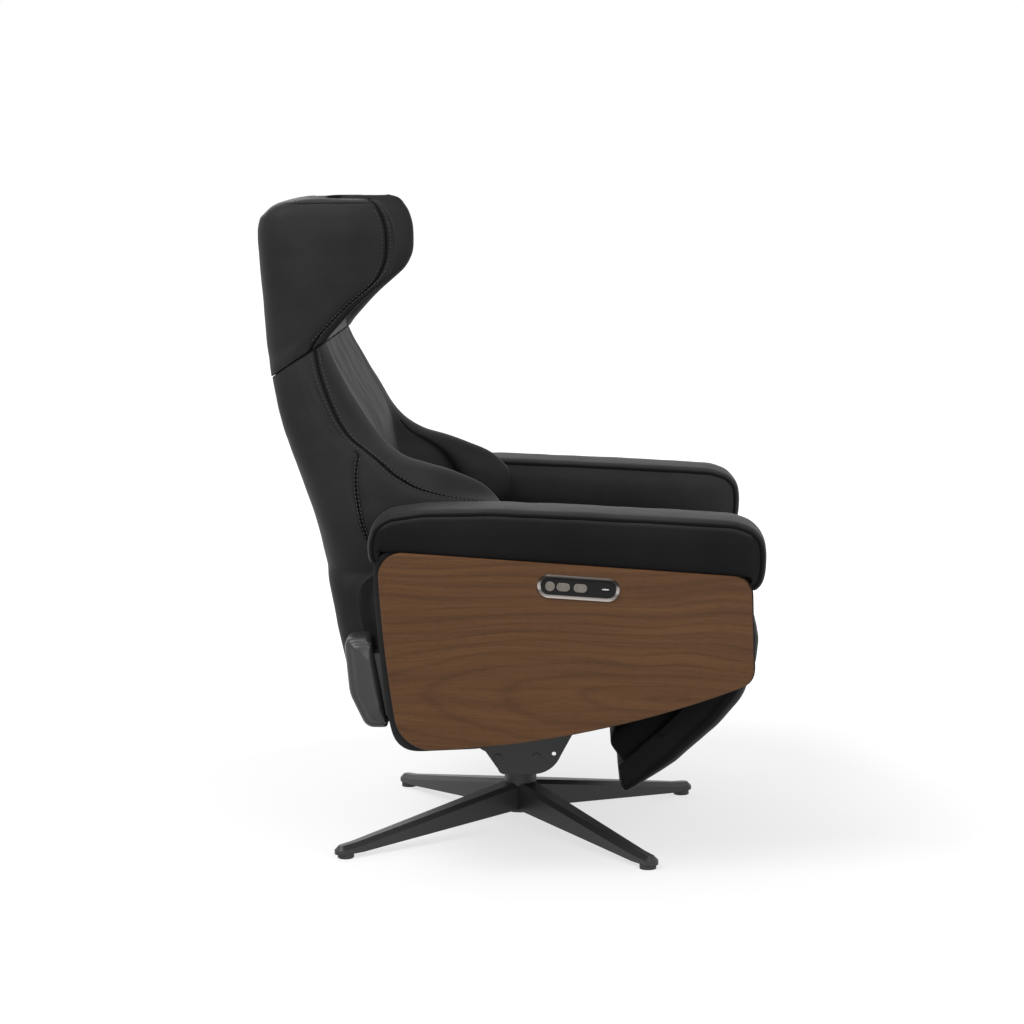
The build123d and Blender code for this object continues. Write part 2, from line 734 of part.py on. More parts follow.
# headrest: centre pad round the board, and two wings
head_half = centre_half + 14
with BuildPart() as headrest_pad:
    for x, draw in ((-head_half, 0), (-head_half + 87, 10), (0, 14), (head_half - 87, 10), (head_half, 0)):
        with BuildSketch(Plane.YZ.offset(x)):
            with BuildLine():
                Line(on_seam(0.08, 0.7), (398, 809.5))
                ThreePointArc((398, 809.5), (409, 930), (414, 1044))
                ThreePointArc((414, 1044), (402, 1082), (362, 1097))
                ThreePointArc((362, 1097), (325, 1095), (300 + draw, 1078))
                ThreePointArc((300 + draw, 1078), (286 + draw, 1020), (296 + draw, 960))
                ThreePointArc((296 + draw, 960), (309 + draw / 2, 905), on_seam(0.08, 0.7))
            make_face()
    loft(ruled=False)
    with BuildSketch(Plane.YZ.offset(-168)):
        with Locations(head_pivot):
            Circle(knuckle + 0.6)
        with BuildLine():
            Polyline(on_seam(0, -2), on_seam(0.56, -2), on_seam(0.56, leaf + 0.6), on_seam(0, leaf + 2.5), on_seam(0, -2))
        make_face()
    extrude(amount=336, mode=Mode.SUBTRACT)
    add(headrest_board.part, mode=Mode.SUBTRACT)
save(headrest_pad, "headrest_pad")

wing_stations = [(-head_half - out, draw) for out, draw in ((soft_gap, 14), (13, 2), (29, 0), (41, 6), (51, 22))]
with BuildPart() as wing_right:
    for x, draw in wing_stations:
        with BuildSketch(Plane.YZ.offset(x)):
            with BuildLine():
                Line((318 + draw / 2, 862 + draw / 4), (397 - draw, 811 + draw / 2))
                ThreePointArc((397 - draw, 811 + draw / 2), (408 - draw, 930), (413 - draw, 1043 - draw / 2))
                ThreePointArc((413 - draw, 1043 - draw / 2), (399 - draw / 2, 1085 - draw), (352, 1102 - draw))
                Line((352, 1102 - draw), (236, 1101 - draw))
                ThreePointArc((236, 1101 - draw), (196 + draw / 2, 1078 - draw / 2), (186 + draw, 1023))
                ThreePointArc((186 + draw, 1023), (193 + draw, 983 + draw / 3), (217 + draw, 955 + draw / 2))
                Line((217 + draw, 955 + draw / 2), (318 + draw / 2, 862 + draw / 4))
            make_face()
    loft(ruled=False)
save(wing_right, "wing_right")
with BuildPart() as wing_left:
    mirror(wing_right.part, about=Plane.YZ)
save(wing_left, "wing_left")

# footrest: board, crowned cushion, rear pad, swing arms and lever
pad_back_low = (-160, 158)
pad_slope = 42


def on_foot(s, t):
    # s runs up the back of the footrest pad from its lower end, t runs to the rear
    a = radians(pad_slope)
    y = pad_back_low[0] - s * cos(a) + t * sin(a)
    z = pad_back_low[1] + s * sin(a) + t * cos(a)
    return (y, z)


foot_board = 12
with BuildPart() as footrest_board:
    with BuildSketch(Plane.YZ.offset(-plate_in)):
        with BuildLine():
            Polyline(on_foot(14, -foot_board), on_foot(232, -foot_board), on_foot(232, 0), on_foot(14, 0))
            Line(on_foot(14, 0), on_foot(14, -foot_board))
        make_face()
    extrude(amount=2 * plate_in)
    for side in (-1, 1):
        with BuildSketch(Plane.YZ.offset(side * 7.2)):
            with BuildLine():
                Polyline(on_foot(150, -20), on_foot(240, -20), on_foot(240, 5), on_foot(150, 5), on_foot(150, -20))
            make_face()
        extrude(amount=side * 8, mode=Mode.SUBTRACT)
save(footrest_board, "footrest_board")

foot_half = plate_in - 4
foot_side = ((foot_half, 20), (foot_half - 18, 4), (foot_half - 154, -11))
foot_stations = [(-x, draw) for x, draw in foot_side] + [(0, -16)] + list(foot_side[::-1])
with BuildPart() as footrest_cushion:
    for x, draw in foot_stations:
        in_draw = max(draw, 0)
        with BuildSketch(Plane.YZ.offset(x)):
            with BuildLine():
                Line(on_foot(4, -foot_board), on_foot(236, -foot_board))
                Line(on_foot(236, -foot_board), (-343 - in_draw / 3, 392))
                ThreePointArc((-343 - in_draw / 3, 392), (-371, 413.5 - in_draw / 2), (-398 + draw, 394))
                ThreePointArc((-398 + draw, 394), (-388 + draw * 0.8, 308), (-341 + draw * 0.7, 239 + draw / 2))
                ThreePointArc((-341 + draw * 0.7, 239 + draw / 2), (-270, 175.5 + draw / 2), (-188, 122 + in_draw / 2))
                ThreePointArc((-188, 122 + in_draw / 2), (-176, 122 + in_draw / 2), on_foot(4, -foot_board))
            make_face()
    loft(ruled=False)
    with BuildSketch(Plane.YZ.offset(-16)):
        with BuildLine():
            Polyline(on_foot(160, -19), on_foot(240, -19), on_foot(240, -5), on_foot(160, -5), on_foot(160, -19))
        make_face()
        with BuildLine():
            Polyline((-335, 312), (-357, 312), (-357, 370), (-335, 370), (-335, 312))
        make_face()
    extrude(amount=32, mode=Mode.SUBTRACT)
save(footrest_cushion, "footrest_cushion")

with BuildPart() as footrest_rear_pad:
    for x, draw in ((-foot_half + 6, 10), (-foot_half + 18, 0), (foot_half - 18, 0), (foot_half - 6, 10)):
        with BuildSketch(Plane.YZ.offset(x)):
            with BuildLine():
                Line(on_foot(150 - draw, 0), on_foot(20 + draw, 0))
                ThreePointArc(on_foot(20 + draw, 0), on_foot(22 + draw, 34 - draw), on_foot(46, 50 - draw))
                ThreePointArc(on_foot(46, 50 - draw), on_foot(106, 43 - draw), on_foot(150 - draw, 0))
            make_face()
    loft(ruled=True)
save(footrest_rear_pad, "footrest_rear_pad")

with BuildPart() as footrest_arms:
    for side in (-1, 1):
        with BuildSketch(Plane.YZ.offset(side * plate_in)):
            with BuildLine():
                Polyline(on_foot(100, -foot_board), on_foot(100, 0), on_foot(232, 4), polar(foot_pivot, 16, 20))
                ThreePointArc(polar(foot_pivot, 16, 20), polar(foot_pivot, 16, 100), polar(foot_pivot, 16, 190))
                Line(polar(foot_pivot, 16, 190), on_foot(100, -foot_board))
            make_face()
            with Locations(foot_pivot):
                Circle(foot_pin_dia / 2 + fit, mode=Mode.SUBTRACT)
        extrude(amount=side * (plate_out - plate_in))
save(footrest_arms, "footrest_arms")

with BuildPart() as footrest_lever:
    with BuildSketch(Plane.YZ.offset(-6)):
        with BuildLine():
            Polyline(on_foot(228, 0), on_foot(170, 0), polar(foot_pin_at, 12, -60))
            ThreePointArc(polar(foot_pin_at, 12, -60), polar(foot_pin_at, 12, 20), polar(foot_pin_at, 12, 100))
            Line(polar(foot_pin_at, 12, 100), on_foot(228, 0))
        make_face()
    extrude(amount=12)
    with BuildSketch(Plane.YZ.offset(-19)):
        with Locations(foot_pin_at):
            Circle(lever_pin / 2)
    extrude(amount=38)
save(footrest_lever, "footrest_lever")
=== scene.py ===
import bpy
import bmesh
import json
import math
import numpy as np
from mathutils import Matrix, Vector, noise


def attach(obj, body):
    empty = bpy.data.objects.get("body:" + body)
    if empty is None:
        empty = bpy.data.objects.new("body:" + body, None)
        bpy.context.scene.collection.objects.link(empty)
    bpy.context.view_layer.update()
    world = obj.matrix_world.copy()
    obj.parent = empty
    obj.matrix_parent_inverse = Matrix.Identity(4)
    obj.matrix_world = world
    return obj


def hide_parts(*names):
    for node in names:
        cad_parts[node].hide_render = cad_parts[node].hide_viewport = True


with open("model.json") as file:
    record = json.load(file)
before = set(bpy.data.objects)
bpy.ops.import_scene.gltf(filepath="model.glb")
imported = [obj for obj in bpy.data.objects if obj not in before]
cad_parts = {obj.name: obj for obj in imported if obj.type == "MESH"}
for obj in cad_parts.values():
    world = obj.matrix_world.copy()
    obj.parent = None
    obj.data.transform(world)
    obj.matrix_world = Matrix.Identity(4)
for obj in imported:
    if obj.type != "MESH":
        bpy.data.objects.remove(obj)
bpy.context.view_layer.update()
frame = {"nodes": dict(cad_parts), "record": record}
mm = 0.001  # every size below is in millimetres
print("stage: frame loaded,", len(frame["nodes"]), "nodes")


# curves and meshes used by the upholstery

def throughPoints(pairs):  # smooth value along the first number of each pair
    pts = np.array(sorted(pairs), float)
    at, val = pts[:, 0], pts[:, 1]
    slope = np.gradient(val, at)

    def value(q):
        q = np.clip(np.asarray(q, float), at[0], at[-1])
        i = np.clip(np.searchsorted(at, q, side="right") - 1, 0, len(at) - 2)
        h = at[i + 1] - at[i]
        t = (q - at[i]) / h
        a = (2 * t**3 - 3 * t**2 + 1) * val[i] + (t**3 - 2 * t**2 + t) * h * slope[i]
        b = (-2 * t**3 + 3 * t**2) * val[i + 1] + (t**3 - t**2) * h * slope[i + 1]
        return a + b
    return value


def roundPath(corners, steps=7):  # corners are (y, z, radius), open path
    pts = [np.array(c[:2], float) for c in corners]
    out = [pts[0]]
    for i in range(1, len(pts) - 1):
        a, b, r = pts[i - 1] - pts[i], pts[i + 1] - pts[i], corners[i][2]
        la, lb = np.linalg.norm(a), np.linalg.norm(b)
        a, b = a / la, b / lb
        half = math.acos(max(-1, min(1, float(a @ b)))) / 2
        cut = min(r / math.tan(half), la * 0.49, lb * 0.49)
        p, q = pts[i] + a * cut, pts[i] + b * cut
        for k in range(steps + 1):
            t = k / steps
            out.append((1 - t)**2 * p + 2 * t * (1 - t) * pts[i] + t**2 * q)
    out.append(pts[-1])
    return np.array(out)


def spread(path, count):  # even points along a path
    path = np.asarray(path, float)
    seg = np.linalg.norm(np.diff(path, axis=0), axis=1)
    run = np.concatenate(([0], np.cumsum(seg)))
    at = np.linspace(0, run[-1], count)
    return np.stack([np.interp(at, run, path[:, k]) for k in range(path.shape[1])], 1)


def inward(path, centre):  # unit offsets square to a path, turned toward its centre
    d = np.gradient(path, axis=0)
    d /= np.maximum(np.linalg.norm(d, axis=1), 1e-9)[:, None]
    turn = np.stack([-d[:, 1], d[:, 0]], 1)
    return -turn if ((centre - path) * turn).sum() < 0 else turn


def edgeDrop(r, s):  # how far a rounded edge has dropped, s in from its end
    return r - math.sqrt(max(0, r**2 - max(0, r - s)**2))


def smoothStep(t):
    t = min(1.0, max(0.0, t))
    return t * t * (3 - 2 * t)


def capStrip(verts, faces, columns, rows, puff):  # closes a ring by quads between its two sides
    grid = []
    for n, (a, b) in enumerate(columns):
        if a == b:
            grid.append([a] * (rows + 2))
            continue
        col = [a]
        edge = min(1, 4 * n / len(columns), 4 * (len(columns) - 1 - n) / len(columns))
        for r in range(1, rows + 1):
            t = r / (rows + 1)
            lift = np.array(puff, float) * (4 * t * (1 - t))**0.5 * edge**0.5
            verts.append(verts[a] * (1 - t) + verts[b] * t + lift)
            col.append(len(verts) - 1)
        grid.append(col + [b])
    for c in range(len(grid) - 1):
        for r in range(rows + 1):
            loop = []
            for v in (grid[c][r], grid[c][r + 1], grid[c + 1][r + 1], grid[c + 1][r]):
                if v not in loop:
                    loop.append(v)
            if len(loop) > 2:
                faces.append(loop)


def skinRings(rings):  # quads round a stack of equal closed rings
    count = len(rings[0])
    verts = [np.array(p, float) for ring in rings for p in ring]
    faces = []
    for k in range(len(rings) - 1):
        for i in range(count):
            j = (i + 1) % count
            faces.append([k * count + i, k * count + j, (k + 1) * count + j, (k + 1) * count + i])
    return verts, faces


def makePiece(name, verts, faces, paintedShadeMask=None):
    mesh = bpy.data.meshes.new(name)
    mesh.from_pydata([tuple(np.asarray(v) * mm) for v in verts], [], [list(map(int, f)) for f in faces])
    bm = bmesh.new()
    bm.from_mesh(mesh)
    bmesh.ops.recalc_face_normals(bm, faces=bm.faces)
    if bm.calc_volume(signed=True) < 0:
        bmesh.ops.reverse_faces(bm, faces=bm.faces)
    bm.to_mesh(mesh)
    bm.free()
    for f in mesh.polygons:
        f.use_smooth = True
    # painted shade per vertex: 1 darkens a seam groove fully, smaller values darken panels that sit in shade
    mask = mesh.attributes.new("paintedShade", "FLOAT", "POINT")
    shade = np.zeros(len(verts))
    if paintedShadeMask is not None:
        shade[:len(paintedShadeMask)] = paintedShadeMask
    mask.data.foreach_set("value", shade.astype(np.float32))
    obj = bpy.data.objects.new(name, mesh)
    bpy.context.scene.collection.objects.link(obj)
    sub = obj.modifiers.new("soften", "SUBSURF")
    sub.levels = sub.render_levels = 1
    return obj


rippleForm = dict(seedStep=(7.1, 3.3, 1), fine=0.45, fineScale=2.3)


def ripple(obj, size, deep, seed, keep=None):  # slow uneven fullness of stuffed leather
    mesh = obj.data
    n = len(mesh.vertices)
    co = np.zeros(n * 3)
    no = np.zeros(n * 3)
    mesh.vertices.foreach_get("co", co)
    mesh.vertices.foreach_get("normal", no)
    co, no = co.reshape(-1, 3), no.reshape(-1, 3)
    for i in range(n):
        q = Vector(co[i]) / (size * mm) + Vector([seed * k for k in rippleForm["seedStep"]])
        d = noise.noise(q) + rippleForm["fine"] * noise.noise(q * rippleForm["fineScale"])
        if keep is not None:
            d *= keep(co[i] / mm)
        co[i] += no[i] * d * deep * mm
    mesh.vertices.foreach_set("co", co.ravel())
    mesh.update()


# finishes

def newGroup(name, outputs, inputs=()):
    group = bpy.data.node_groups.new(name, "ShaderNodeTree")
    group.interface.new_socket("Vector", in_out="INPUT", socket_type="NodeSocketVector")
    for label, value in inputs:
        group.interface.new_socket(label, in_out="INPUT", socket_type="NodeSocketFloat").default_value = value
    for label, kind in outputs:
        group.interface.new_socket(label, in_out="OUTPUT", socket_type="NodeSocket" + kind)
    return group, group.nodes.new("NodeGroupInput"), group.nodes.new("NodeGroupOutput")


def addNode(tree, kind, **values):
    node = tree.nodes.new("ShaderNode" + kind)
    for key, value in values.items():
        setattr(node, key, value)
    return node


def addNoise(tree, vector, scale, detail=3.0, rough=0.5):
    tex = addNode(tree, "TexNoise")
    tex.inputs["Scale"].default_value = scale
    tex.inputs["Detail"].default_value = detail
    tex.inputs["Roughness"].default_value = rough
    tree.links.new(vector, tex.inputs["Vector"])
    return tex


def addRamp(tree, fac, stops):
    ramp = addNode(tree, "ValToRGB")
    while len(ramp.color_ramp.elements) < len(stops):
        ramp.color_ramp.elements.new(0.5)
    for el, (pos, col) in zip(ramp.color_ramp.elements, stops):
        el.position = pos
        el.color = (*col, 1)
    tree.links.new(fac, ramp.inputs["Fac"])
    return ramp


def stretch(tree, vector, scale):
    node = addNode(tree, "Mapping")
    node.inputs["Scale"].default_value = scale
    tree.links.new(vector, node.inputs["Vector"])
    return node.outputs["Vector"]


def rangeMap(tree, value, low, high):  # 0..1 to low..high
    node = addNode(tree, "MapRange")
    node.inputs["To Min"].default_value = low
    node.inputs["To Max"].default_value = high
    tree.links.new(value, node.inputs["Value"])
    return node.outputs["Result"]


def leatherGrainGroup():  # pebble grain, soft creases and slow blotches
    group, gin, gout = newGroup("leatherGrain", (("Pebble", "Float"), ("Crease", "Float"), ("Blotch", "Float")),
                                (("Grain", 620.0),))
    vec = gin.outputs["Vector"]
    cell = addNode(group, "TexVoronoi", feature="SMOOTH_F1")
    group.links.new(vec, cell.inputs["Vector"])
    group.links.new(gin.outputs["Grain"], cell.inputs["Scale"])
    crease = addNoise(group, vec, scale=55.0, detail=4.0, rough=0.6)
    blotch = addNoise(group, vec, scale=7.0, detail=4.0, rough=0.55)
    group.links.new(cell.outputs["Distance"], gout.inputs["Pebble"])
    group.links.new(crease.outputs["Fac"], gout.inputs["Crease"])
    group.links.new(blotch.outputs["Fac"], gout.inputs["Blotch"])
    return group


def fineGrainGroup():  # fine speck and slow unevenness of coats, metals and plastics
    group, gin, gout = newGroup("fineGrain", (("Speck", "Float"), ("Cloud", "Float")), (("Size", 900.0),))
    speck = addNoise(group, gin.outputs["Vector"], scale=900.0, detail=2.0, rough=0.6)
    group.links.new(gin.outputs["Size"], speck.inputs["Scale"])
    cloud = addNoise(group, gin.outputs["Vector"], scale=9.0, detail=3.0, rough=0.5)
    group.links.new(speck.outputs["Fac"], gout.inputs["Speck"])
    group.links.new(cloud.outputs["Fac"], gout.inputs["Cloud"])
    return group


leatherGrain, fineGrain = leatherGrainGroup(), fineGrainGroup()


def startMaterial(name):
    mat = bpy.data.materials.new(name)
    mat.use_nodes = True
    tree = mat.node_tree
    return mat, tree, tree.nodes["Principled BSDF"], addNode(tree, "TexCoord").outputs["Object"]


def callGroup(tree, group, vector, **values):
    node = tree.nodes.new("ShaderNodeGroup")
    node.node_tree = group
    tree.links.new(vector, node.inputs["Vector"])
    for key, value in values.items():
        node.inputs[key].default_value = value
    return node


def addBump(tree, height, strength, distance, before=None):
    bump = addNode(tree, "Bump")
    bump.inputs["Strength"].default_value = strength
    bump.inputs["Distance"].default_value = distance * mm
    tree.links.new(height, bump.inputs["Height"])
    if before is not None:
        tree.links.new(before, bump.inputs["Normal"])
    return bump.outputs["Normal"]


# groove is the colour of painted shade, in seam grooves and on shaded panels; shadedShare scales the shine there
leatherLook = dict(low=(0.0125, 0.0126, 0.013), high=(0.0225, 0.0226, 0.0232), groove=(0.003, 0.003, 0.0032),
                   roughLow=0.46, roughHigh=0.62, pebble=0.16, pebbleDeep=0.5, crease=0.22, creaseDeep=1.6,
                   shine=0.1, shadedShare=0.1, sheen=0.02, sheenRough=0.5)


def leatherMaterial(name, look):
    mat, tree, bsdf, coord = startMaterial(name)
    grain = callGroup(tree, leatherGrain, coord)
    colour = addRamp(tree, grain.outputs["Blotch"], ((0.3, look["low"]), (0.72, look["high"])))
    # painted shade: the shade attribute pulls the colour toward the groove colour
    seam = addNode(tree, "Attribute", attribute_name="paintedShade")
    mix = addNode(tree, "Mix", data_type="RGBA")
    tree.links.new(seam.outputs["Fac"], mix.inputs["Factor"])
    tree.links.new(colour.outputs["Color"], mix.inputs[6])
    mix.inputs[7].default_value = (*look["groove"], 1)
    tree.links.new(mix.outputs[2], bsdf.inputs["Base Color"])
    rough = rangeMap(tree, grain.outputs["Blotch"], look["roughLow"], look["roughHigh"])
    tree.links.new(rough, bsdf.inputs["Roughness"])
    soft = addBump(tree, grain.outputs["Crease"], look["crease"], look["creaseDeep"])
    fine = addBump(tree, grain.outputs["Pebble"], look["pebble"], look["pebbleDeep"], soft)
    tree.links.new(fine, bsdf.inputs["Normal"])
    # less shine where shade is painted
    shine = rangeMap(tree, seam.outputs["Fac"], look["shine"], look["shine"] * look["shadedShare"])
    tree.links.new(shine, bsdf.inputs["Specular IOR Level"])
    bsdf.inputs["Sheen Weight"].default_value = look["sheen"]
    bsdf.inputs["Sheen Roughness"].default_value = look["sheenRough"]
    return mat


walnutLook = dict(dark=(0.077, 0.0335, 0.0118), mid=(0.099, 0.044, 0.0158), light=(0.123, 0.0565, 0.0212),
                  bend=(0.6, 1.1, 3.2), warp=0.1, bands=(0.2, 0.7, 26.0), lines=(1.0, 3.0, 240.0),
                  pores=(40.0, 28.0, 900.0), heart=(0, -0.2, 0.36), oval=(0.0, 2.0, 15.0), rings=26.0,
                  layer=0.85, rough=(0.44, 0.6), poreBump=(0.12, 0.3), shine=0.22)


def walnutMaterial(name, look):  # veneer grain lies along the arm, with a cathedral figure
    mat, tree, bsdf, coord = startMaterial(name)
    bend = addNoise(tree, stretch(tree, coord, look["bend"]), scale=2.0, detail=2.0, rough=0.45)
    shift = addNode(tree, "VectorMath", operation="SCALE")
    tree.links.new(bend.outputs["Color"], shift.inputs[0])
    shift.inputs["Scale"].default_value = look["warp"]
    warped = addNode(tree, "VectorMath", operation="ADD")
    tree.links.new(coord, warped.inputs[0])
    tree.links.new(shift.outputs[0], warped.inputs[1])
    bands = addNoise(tree, stretch(tree, warped.outputs[0], look["bands"]), scale=2.4, detail=6.0, rough=0.68)
    lines = addNoise(tree, stretch(tree, warped.outputs[0], look["lines"]), scale=2.0, detail=4.0, rough=0.65)
    pores = addNoise(tree, stretch(tree, coord, look["pores"]), scale=2.0, detail=2.0, rough=0.5)
    tone = addRamp(tree, bands.outputs["Fac"], ((0.3, look["dark"]), (0.5, look["mid"]), (0.7, look["light"])))
    streak = addRamp(tree, lines.outputs["Fac"], ((0.32, (0.74, 0.72, 0.7)), (0.62, (1.0, 1.0, 1.0))))
    pore = addRamp(tree, pores.outputs["Fac"], ((0.34, (0.7, 0.68, 0.66)), (0.46, (1.0, 1.0, 1.0))))
    offset = addNode(tree, "VectorMath", operation="SUBTRACT")  # long ovals round the heart of the figure
    tree.links.new(warped.outputs[0], offset.inputs[0])
    offset.inputs[1].default_value = look["heart"]
    span = addNode(tree, "VectorMath", operation="LENGTH")
    tree.links.new(stretch(tree, offset.outputs[0], look["oval"]), span.inputs[0])
    turns = addNode(tree, "Math", operation="MULTIPLY")
    tree.links.new(span.outputs["Value"], turns.inputs[0])
    turns.inputs[1].default_value = look["rings"]
    wave = addNode(tree, "Math", operation="SINE")
    tree.links.new(turns.outputs[0], wave.inputs[0])
    arcs = addRamp(tree, wave.outputs[0], ((0.0, (1.0, 1.0, 1.0)), (0.75, (0.93, 0.92, 0.91)),
                                           (1.0, (0.78, 0.75, 0.72))))
    last = tone.outputs["Color"]
    for layer in (streak, pore, arcs):
        mul = addNode(tree, "Mix", data_type="RGBA", blend_type="MULTIPLY")
        mul.inputs["Factor"].default_value = look["layer"]
        tree.links.new(last, mul.inputs[6])
        tree.links.new(layer.outputs["Color"], mul.inputs[7])
        last = mul.outputs[2]
    tree.links.new(last, bsdf.inputs["Base Color"])
    tree.links.new(rangeMap(tree, lines.outputs["Fac"], *look["rough"]), bsdf.inputs["Roughness"])
    tree.links.new(addBump(tree, pores.outputs["Fac"], *look["poreBump"]), bsdf.inputs["Normal"])
    bsdf.inputs["Specular IOR Level"].default_value = look["shine"]
    return mat


coatShine = dict(plain=0.5, gloss_black=0.12, black_plastic=0.4, powder_black=0.4, shadedArmCoat=0.06)
coatGrain = dict(share=0.5, deep=0.25)
coatLooks = dict(  # low colour, high colour, metal, roughness range, bump, speck size, stretch
    powder_black=((0.024, 0.024, 0.0245), (0.04, 0.04, 0.0405), 0.0, (0.34, 0.46), 0.14, 1100, (1, 1, 1)),
    black_plastic=((0.02, 0.02, 0.0205), (0.032, 0.032, 0.0325), 0.0, (0.3, 0.4), 0.08, 1500, (1, 1, 1)),
    glide_plastic=((0.012, 0.012, 0.012), (0.024, 0.024, 0.024), 0.0, (0.5, 0.65), 0.12, 900, (1, 1, 1)),
    gloss_black=((0.006, 0.006, 0.0065), (0.011, 0.011, 0.0115), 0.0, (0.09, 0.16), 0.015, 300, (1, 1, 1)),
    white_plastic=((0.74, 0.74, 0.72), (0.82, 0.82, 0.8), 0.0, (0.32, 0.42), 0.04, 900, (1, 1, 1)),
    # a darker copy of the black powder coat, as painted shade on the swing arms
    shadedArmCoat=((0.0035, 0.0035, 0.0036), (0.006, 0.006, 0.0061), 0.0, (0.5, 0.6), 0.14, 1100, (1, 1, 1)),
    button_metal=((0.1, 0.09, 0.078), (0.17, 0.157, 0.138), 1.0, (0.3, 0.44), 0.14, 420, (1, 9, 0.6)),
    zinc_steel=((0.42, 0.43, 0.44), (0.6, 0.61, 0.62), 1.0, (0.28, 0.45), 0.08, 260, (1, 1, 1)),
    bush_bronze=((0.34, 0.2, 0.08), (0.48, 0.3, 0.13), 1.0, (0.3, 0.46), 0.06, 300, (1, 1, 1)),
    webbing=((0.016, 0.016, 0.017), (0.05, 0.05, 0.052), 0.0, (0.8, 0.92), 0.5, 700, (1.6, 0.35, 1)),
)


def coatMaterial(name, look):
    low, high, metal, rough, bump, size, scale = look
    mat, tree, bsdf, coord = startMaterial(name)
    grain = callGroup(tree, fineGrain, stretch(tree, coord, scale), Size=float(size))
    blend = addNode(tree, "Math", operation="MULTIPLY_ADD")
    tree.links.new(grain.outputs["Speck"], blend.inputs[0])
    blend.inputs[1].default_value = coatGrain["share"]
    half = addNode(tree, "Math", operation="MULTIPLY")
    tree.links.new(grain.outputs["Cloud"], half.inputs[0])
    half.inputs[1].default_value = coatGrain["share"]
    tree.links.new(half.outputs[0], blend.inputs[2])
    colour = addRamp(tree, blend.outputs[0], ((0.32, low), (0.68, high)))
    tree.links.new(colour.outputs["Color"], bsdf.inputs["Base Color"])
    tree.links.new(rangeMap(tree, grain.outputs["Cloud"], *rough), bsdf.inputs["Roughness"])
    tree.links.new(addBump(tree, grain.outputs["Speck"], bump, coatGrain["deep"]), bsdf.inputs["Normal"])
    bsdf.inputs["Metallic"].default_value = metal
    bsdf.inputs["Specular IOR Level"].default_value = coatShine.get(name, coatShine["plain"])
    return mat


# painted reflection levels across the rim
chromeLook = dict(bands=((0.0, 0.42), (0.14, 0.2), (0.3, 0.1), (0.42, 0.34), (0.6, 0.24), (0.72, 0.035),
                         (0.9, 0.02), (1.0, 0.16)),
                  warm=(1.0, 0.9, 0.84), rough=(0.07, 0.14))


def chromeMaterial(name, look, node):  # painted reflection: bright and dark bands in the colour run along the rim
    pts = np.array([v.co for v in node.data.vertices])[:, 1:]
    along = np.linalg.svd(pts - pts.mean(0), full_matrices=False)[2][0]
    over = np.array([-along[1], along[0]]) * np.sign(along[0])
    mat, tree, bsdf, coord = startMaterial(name)
    height = addNode(tree, "VectorMath", operation="DOT_PRODUCT")
    tree.links.new(coord, height.inputs[0])
    height.inputs[1].default_value = (0, over[0], over[1])
    place = addNode(tree, "MapRange")
    place.inputs["From Min"].default_value = float((pts @ over).min())
    place.inputs["From Max"].default_value = float((pts @ over).max())
    tree.links.new(height.outputs["Value"], place.inputs["Value"])
    stops = [(at, tuple(c * v for c in look["warm"])) for at, v in look["bands"]]
    colour = addRamp(tree, place.outputs["Result"], stops)
    tree.links.new(colour.outputs["Color"], bsdf.inputs["Base Color"])
    cloud = addNoise(tree, coord, scale=40.0, detail=2.0, rough=0.5)
    tree.links.new(rangeMap(tree, cloud.outputs["Fac"], *look["rough"]), bsdf.inputs["Roughness"])
    bsdf.inputs["Metallic"].default_value = 1.0
    return mat


plyLook = dict(low=(0.34, 0.21, 0.1), high=(0.56, 0.4, 0.23), lines=(70.0, 70.0, 4.0), rough=(0.62, 0.8),
               bump=(0.2, 0.4))


def plywoodMaterial(name, look):
    mat, tree, bsdf, coord = startMaterial(name)
    lines = addNoise(tree, stretch(tree, coord, look["lines"]), scale=2.0, detail=4.0, rough=0.6)
    colour = addRamp(tree, lines.outputs["Fac"], ((0.3, look["low"]), (0.7, look["high"])))
    tree.links.new(colour.outputs["Color"], bsdf.inputs["Base Color"])
    tree.links.new(rangeMap(tree, lines.outputs["Fac"], *look["rough"]), bsdf.inputs["Roughness"])
    tree.links.new(addBump(tree, lines.outputs["Fac"], *look["bump"]), bsdf.inputs["Normal"])
    return mat


materials = {name: coatMaterial(name, look) for name, look in coatLooks.items()}
materials["leather"] = leatherMaterial("leather", leatherLook)
materials["chrome"] = chromeMaterial("chrome", chromeLook, frame["nodes"]["control_bezel"])
materials["walnut"] = walnutMaterial("walnut", walnutLook)
materials["plywood"] = plywoodMaterial("plywood", plyLook)
threadLook = dict(leatherLook, low=(0.04, 0.04, 0.041), high=(0.07, 0.07, 0.072), pebble=0.05)
materials["thread"] = leatherMaterial("thread", threadLook)
print("stage: finishes made,", len(materials))


def finishPiece(obj, body, nodes=(), slot="leather", material=None):
    obj.data.materials.clear()
    obj.data.materials.append(materials[material or slot])
    if nodes:
        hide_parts(*nodes)
    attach(obj, body)


# stitches: short threads laid along seam lines by Geometry Nodes

stitchSize = dict(pitch=6.6, long=4.8, thick=1.7)


